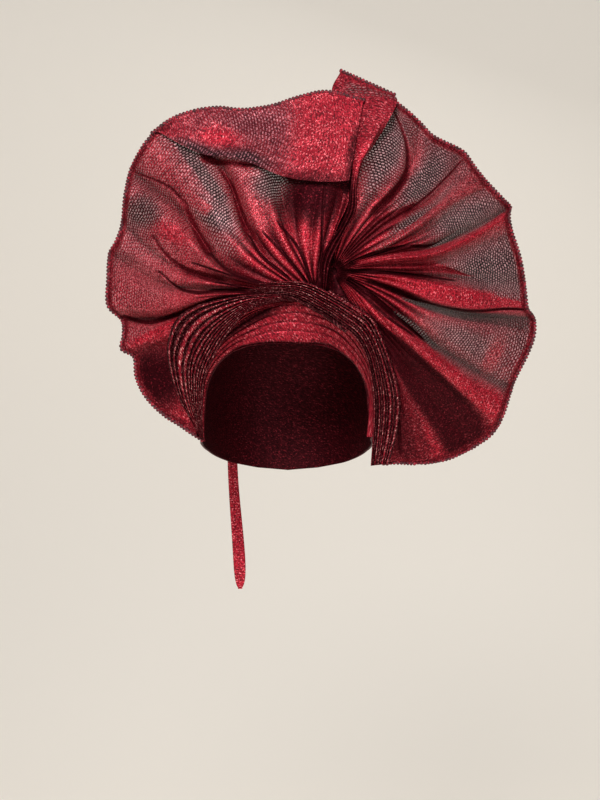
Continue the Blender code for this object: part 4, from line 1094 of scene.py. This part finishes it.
def metallic_net(name, lit_stops, shade_stops):
    """Woven net of black and red metallic thread: grains of glitter, painted shade in its grooves and open
    holes.
    """
    material, tree, shader = new_material(name)
    cloth = add_node(tree, "ShaderNodeUVMap", {"uv_map": "cloth"}).outputs["UV"]
    cover = add_node(tree, "ShaderNodeAttribute", {"attribute_name": "cover"}).outputs["Fac"]
    shade = add_node(tree, "ShaderNodeAttribute", {"attribute_name": "shade"}).outputs["Fac"]
    place = add_node(tree, "ShaderNodeTexCoord").outputs["Object"]

    # Threads pull out of line by about half a millimetre.
    stray = add_node(
        tree, "ShaderNodeTexNoise", {}, {"Vector": place, "Scale": STRAY_WAVES_PER_METRE, "Detail": 1.0}
    )
    centred = vector_value(tree, "SUBTRACT", stray.outputs["Color"], (0.5, 0.5, 0.5))
    pulled = vector_value(tree, "MULTIPLY_ADD", centred, STRAY_REACH, cloth)
    cloth_mm = vector_value(tree, "MULTIPLY", pulled, (1000.0, 1000.0, 1000.0))
    threads = add_node(
        tree, "ShaderNodeTexBrick", {"offset": 0.5, "squash": 1.0},
        {
            "Vector": cloth_mm,
            "Scale": 1.0,
            "Mortar Size": NET_THREAD_MM,
            "Mortar Smooth": 0.35,
            "Brick Width": NET_HOLE_WIDTH_MM,
            "Row Height": NET_ROW_HEIGHT_MM,
        },
    ).outputs["Fac"]
    hole = math_value(tree, "SUBTRACT", 1.0, threads)

    # Glitter: short lengths of thread along the weave, each of its own tone; the brightest are painted glints
    # where a thread catches the light.
    grain_place = vector_value(tree, "DIVIDE", cloth_mm, GLITTER_GRAIN_MM)
    grains = add_node(
        tree, "ShaderNodeTexVoronoi", {"feature": "F1", "voronoi_dimensions": "2D"},
        {"Vector": grain_place, "Scale": 1.0, "Randomness": 0.9},
    )
    grain = add_node(tree, "ShaderNodeSeparateColor", {}, {"Color": grains.outputs["Color"]}).outputs["Red"]
    patches = add_node(
        tree, "ShaderNodeTexNoise", {},
        {"Vector": place, "Scale": CLOUDS_PER_METRE, "Detail": 2.0, "Roughness": 0.55},
    ).outputs["Fac"]
    lifted = math_value(tree, "MULTIPLY_ADD", patches, CLOUD_LIFT, -0.5 * CLOUD_LIFT)
    woven = math_value(tree, "MULTIPLY_ADD", hole, CLOSED_HOLE_LIFT, lifted)
    brightness = math_value(tree, "ADD", grain, woven)
    dashes = math_value(tree, "MULTIPLY_ADD", hole, OPEN_HOLE_LIFT, lifted)
    open_brightness = math_value(tree, "MULTIPLY_ADD", grain, 1.0 - OPEN_HOLE_LIFT, dashes)
    thread_color = mixed_colors(
        tree, cover, color_ramp(tree, open_brightness, OPEN_THREADS), color_ramp(tree, brightness, lit_stops)
    )
    lit_share = math_value(tree, "POWER", math_value(tree, "SUBTRACT", 1.0, shade), 2.0)
    color = mixed_colors(tree, lit_share, color_ramp(tree, grain, shade_stops), thread_color)
    tree.links.new(color, shader.inputs["Base Color"])

    # One open layer lets the wall behind show through its holes; folded layers close them.
    layer = math_value(tree, "SUBTRACT", 1.0, cover)
    uneven = math_value(
        tree, "MULTIPLY_ADD", patches, OPEN_SHARE_SWING, OPEN_SHARE - 0.5 * OPEN_SHARE_SWING, clamp=True
    )
    fibre = math_value(tree, "MULTIPLY_ADD", grain, FIBRE_SWING, 1.0 - FIBRE_SWING)
    opening = math_value(tree, "MULTIPLY", math_value(tree, "MULTIPLY", hole, fibre), uneven)
    see_through = math_value(tree, "MULTIPLY", opening, layer)
    alpha = math_value(tree, "SUBTRACT", 1.0, see_through, clamp=True)
    tree.links.new(alpha, shader.inputs["Alpha"])

    add_relief(tree, shader, math_value(tree, "MULTIPLY_ADD", threads, THREAD_RELIEF, grain))
    for value, (low, high), socket in (
        (grain, GRAIN_ROUGHNESS, "Roughness"),
        (shade, SHADE_GLOSS, "Specular IOR Level"),
    ):
        ranged = add_node(tree, "ShaderNodeMapRange", {}, {"Value": value, "To Min": low, "To Max": high})
        tree.links.new(ranged.outputs[0], shader.inputs[socket])
    shader.inputs["Metallic"].default_value = 0.40
    return material


def selvedge_thread():
    """Tightly woven edge thread: dark wine red with a few bright grains."""
    material, tree, shader = new_material("woven_selvedge_thread")
    place = add_node(tree, "ShaderNodeTexCoord").outputs["Object"]
    grains = add_node(
        tree, "ShaderNodeTexVoronoi", {"feature": "F1"}, {"Vector": place, "Scale": EDGE_GRAINS_PER_METRE}
    )
    grain = add_node(tree, "ShaderNodeSeparateColor", {}, {"Color": grains.outputs["Color"]}).outputs["Red"]
    color = color_ramp(tree, grain, ((0.0, "1c0309"), (0.6, "520919"), (1.0, "9c162c")))
    tree.links.new(color, shader.inputs["Base Color"])
    add_relief(tree, shader, grain)
    shader.inputs["Roughness"].default_value = 0.65
    shader.inputs["Metallic"].default_value = 0.2
    return material


def scalloped_edge_tree(material):
    """Geometry Nodes tree that lays a thin cord and a row of scallops along a line."""
    tree = bpy.data.node_groups.new("scalloped_edge", "GeometryNodeTree")
    face = tree.interface
    face.new_socket("Geometry", in_out="INPUT", socket_type="NodeSocketGeometry")
    spacing = face.new_socket("Scallop spacing", in_out="INPUT", socket_type="NodeSocketFloat")
    radius = face.new_socket("Cord radius", in_out="INPUT", socket_type="NodeSocketFloat")
    size = face.new_socket("Scallop size", in_out="INPUT", socket_type="NodeSocketVector")
    face.new_socket("Geometry", in_out="OUTPUT", socket_type="NodeSocketGeometry")
    start = tree.nodes.new("NodeGroupInput")
    line = add_node(tree, "GeometryNodeMeshToCurve", {}, {"Mesh": start.outputs["Geometry"]}).outputs["Curve"]
    profile = add_node(
        tree, "GeometryNodeCurvePrimitiveCircle", {},
        {"Resolution": 6, "Radius": start.outputs["Cord radius"]},
    ).outputs["Curve"]
    cord = add_node(
        tree, "GeometryNodeCurveToMesh", {}, {"Curve": line, "Profile Curve": profile, "Fill Caps": True}
    ).outputs["Mesh"]
    places = add_node(
        tree, "GeometryNodeResampleCurve", {"mode": "LENGTH"},
        {"Curve": line, "Length": start.outputs["Scallop spacing"]},
    ).outputs["Curve"]
    tangent = add_node(tree, "GeometryNodeInputTangent").outputs["Tangent"]
    turned = add_node(
        tree, "FunctionNodeAlignRotationToVector", {"axis": "X"}, {"Vector": tangent}
    ).outputs["Rotation"]
    bead = add_node(
        tree, "GeometryNodeMeshUVSphere", {}, {"Segments": 8, "Rings": 5, "Radius": 1.0}
    ).outputs["Mesh"]
    beads = add_node(
        tree, "GeometryNodeInstanceOnPoints", {},
        {"Points": places, "Instance": bead, "Rotation": turned, "Scale": start.outputs["Scallop size"]},
    ).outputs["Instances"]
    joined = add_node(tree, "GeometryNodeJoinGeometry")
    tree.links.new(cord, joined.inputs["Geometry"])
    tree.links.new(beads, joined.inputs["Geometry"])
    real = add_node(
        tree, "GeometryNodeRealizeInstances", {}, {"Geometry": joined.outputs["Geometry"]}
    ).outputs["Geometry"]
    painted = add_node(
        tree, "GeometryNodeSetMaterial", {}, {"Geometry": real, "Material": material}
    ).outputs["Geometry"]
    end = tree.nodes.new("NodeGroupOutput")
    tree.links.new(painted, end.inputs["Geometry"])
    return tree, {
        spacing.identifier: SCALLOP_SPACING,
        radius.identifier: EDGE_CORD_RADIUS,
        size.identifier: SCALLOP_SIZE,
    }


def edge_piece(name, line, tree, values):
    """Scalloped edge along a line of points, as a plain mesh."""
    guide = bpy.data.meshes.new(name + "_line")
    guide.from_pydata([tuple(point) for point in line], [(i, i + 1) for i in range(len(line) - 1)], [])
    holder = add_object(name + "_line", guide)
    modifier = holder.modifiers.new("scallops", "NODES")
    modifier.node_group = tree
    for identifier, value in values.items():
        modifier[identifier] = value
    graph = bpy.context.evaluated_depsgraph_get()
    mesh = bpy.data.meshes.new_from_object(holder.evaluated_get(graph))
    mesh.name = name
    bpy.data.objects.remove(holder, do_unlink=True)
    mesh.shade_smooth()
    return add_object(name, mesh)


def backdrop_piece():
    """Pale floor that curves up into a wall behind the object."""
    outline = [(FLOOR_FRONT_Y, FLOOR_Z)]
    for turn in np.linspace(0.0, math.pi / 2.0, BACKDROP_STEPS):
        outline.append((
            WALL_Y - BACKDROP_BEND + BACKDROP_BEND * math.sin(turn),
            FLOOR_Z + BACKDROP_BEND - BACKDROP_BEND * math.cos(turn),
        ))
    outline.append((WALL_Y, WALL_TOP_Z))
    points = [(x, y, z) for x in (-BACKDROP_HALF_WIDTH, BACKDROP_HALF_WIDTH) for y, z in outline]
    count = len(outline)
    faces = [(i, count + i, count + i + 1, i + 1) for i in range(count - 1)]
    mesh = bpy.data.meshes.new("pale_backdrop")
    mesh.from_pydata(points, [], faces)
    paint, _, shader = new_material("matt_wall_paint")
    shader.inputs["Base Color"].default_value = linear("d6d1ca")
    shader.inputs["Roughness"].default_value = 0.9
    shader.inputs["Emission Color"].default_value = linear("dad4cb")
    shader.inputs["Emission Strength"].default_value = WALL_GLOW
    mesh.materials.append(paint)
    mesh.shade_smooth()
    add_object("pale_backdrop", mesh)


def add_light(name, place, aim, size, watts, color):
    """Soft square light that points at the object."""
    data = bpy.data.lights.new(name, "AREA")
    data.size = size
    data.energy = watts
    data.color = color
    light = add_object(name, data)
    light.location = place
    light.rotation_euler = (Vector(aim) - Vector(place)).to_track_quat("-Z", "Y").to_euler()


def add_camera():
    """Camera level with the brow, straight in front."""
    data = bpy.data.cameras.new("camera")
    data.lens = LENS_MM
    camera = add_object("camera", data)
    camera.location = (SIGHT_X, -SIGHT_DISTANCE, SIGHT_Z)
    camera.rotation_euler = (math.pi / 2.0, 0.0, 0.0)
    bpy.context.scene.camera = camera


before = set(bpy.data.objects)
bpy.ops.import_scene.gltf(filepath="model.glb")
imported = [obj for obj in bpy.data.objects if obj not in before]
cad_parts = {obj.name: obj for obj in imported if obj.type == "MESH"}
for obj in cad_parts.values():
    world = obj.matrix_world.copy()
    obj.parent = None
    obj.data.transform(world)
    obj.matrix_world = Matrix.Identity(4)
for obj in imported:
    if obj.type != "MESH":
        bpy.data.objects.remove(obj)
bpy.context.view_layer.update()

# Cloth that faces the light: clear red with many bright grains.
bright_net = metallic_net(
    "bright_metallic_net",
    ((0.0, "560614"), (0.45, "9c1226"), (0.82, "bc2638"), (1.0, "ee7c84")),
    UNLIT_THREADS,
)
# Gathered cloth: deeper red, with fewer bright grains on its ridges; the deeper red is painted shade of the
# gathers, the palest grains painted glints.
deep_net = metallic_net(
    "shaded_metallic_net",
    ((0.0, "420410"), (0.48, "8a1022"), (0.74, "ac2638"), (1.0, "ffbcb8")),
    UNLIT_PLEATS,
)
# Cloth round the head: the same deep red, calm in its shadows.
head_net = metallic_net(
    "close_metallic_net",
    ((0.0, "420410"), (0.50, "8a1022"), (0.84, "b82638"), (1.0, "e87880")),
    UNLIT_THREADS,
)
# The fans' net: red where layers lie together, grey and open where one layer stands alone.
fan_net = metallic_net(
    "open_metallic_net",
    ((0.0, "560614"), (0.45, "9c1224"), (0.82, "c02638"), (1.0, "ee7c84")),
    UNLIT_THREADS,
)
edge_thread = selvedge_thread()

right_fan, right_points = fan_piece(
    "right_fan_of_net", RIGHT_FOLDS, RIGHT_GATHER, RIGHT_ROOT, RIGHT_LINES, RIGHT_PATCHES, fan_net
)
left_fan, left_points = fan_piece(
    "left_fan_of_net", LEFT_FOLDS, LEFT_GATHER, LEFT_ROOT, LEFT_LINES, LEFT_PATCHES, fan_net
)
band, band_points = band_piece(bright_net)
band_front = band_points[BAND_TUCK_COLUMNS:]
left_wrap = wrap_piece("left_wrap_of_pleats", LEFT_WRAP, LEFT_WRAP_PLEATS, deep_net, band_front)
right_wrap = wrap_piece("right_wrap_of_pleats", RIGHT_WRAP, RIGHT_WRAP_PLEATS, deep_net, band_front)
flap, flap_points = flap_piece(bright_net)
crest, crest_points = crest_piece(bright_net)
knot = wrap_piece("pleated_knot", KNOT, KNOT_PLEATS, deep_net)
hollow = hollow_piece(head_net)
cap = cap_piece(head_net)
strap = strap_piece(bright_net)

edge_tree, edge_values = scalloped_edge_tree(edge_thread)
right_edge = edge_piece("right_fan_edge", right_points[:, -1], edge_tree, edge_values)
left_edge = edge_piece("left_fan_edge", left_points[:-EDGE_END_TRIM, -1], edge_tree, edge_values)
crest_edge = edge_piece("crest_edge", crest_points[:, -1], edge_tree, edge_values)
flap_edge = edge_piece("flap_edge", flap_points[0], edge_tree, edge_values)

pieces = {
    right_fan: ("right_fan", "sheer_net"),
    left_fan: ("left_fan", "sheer_net"),
    band: ("forehead_band", "bright_net"),
    left_wrap: ("left_wrap", "deep_net"),
    right_wrap: ("right_wrap", "deep_net"),
    flap: ("top_fold", "bright_net"),
    crest: ("crest", "bright_net"),
    knot: ("knot", "deep_net"),
    cap: ("cap", "deep_net"),
    strap: ("nape_strap", "strap_cloth"),
}
for piece, (node, slot_name) in pieces.items():
    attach(piece, "root")
    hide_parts(node)
for extra in (right_edge, left_edge, crest_edge, flap_edge, hollow):
    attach(extra, "root")

backdrop_piece()
for light in LIGHTS:
    add_light(*light)
world = bpy.data.worlds.new("soft_room")
world.use_nodes = True
world.node_tree.nodes["Background"].inputs["Color"].default_value = linear("e6e2dc")
world.node_tree.nodes["Background"].inputs["Strength"].default_value = ROOM_LIGHT
bpy.context.scene.world = world
bpy.context.scene.view_settings.view_transform = "Standard"
add_camera()
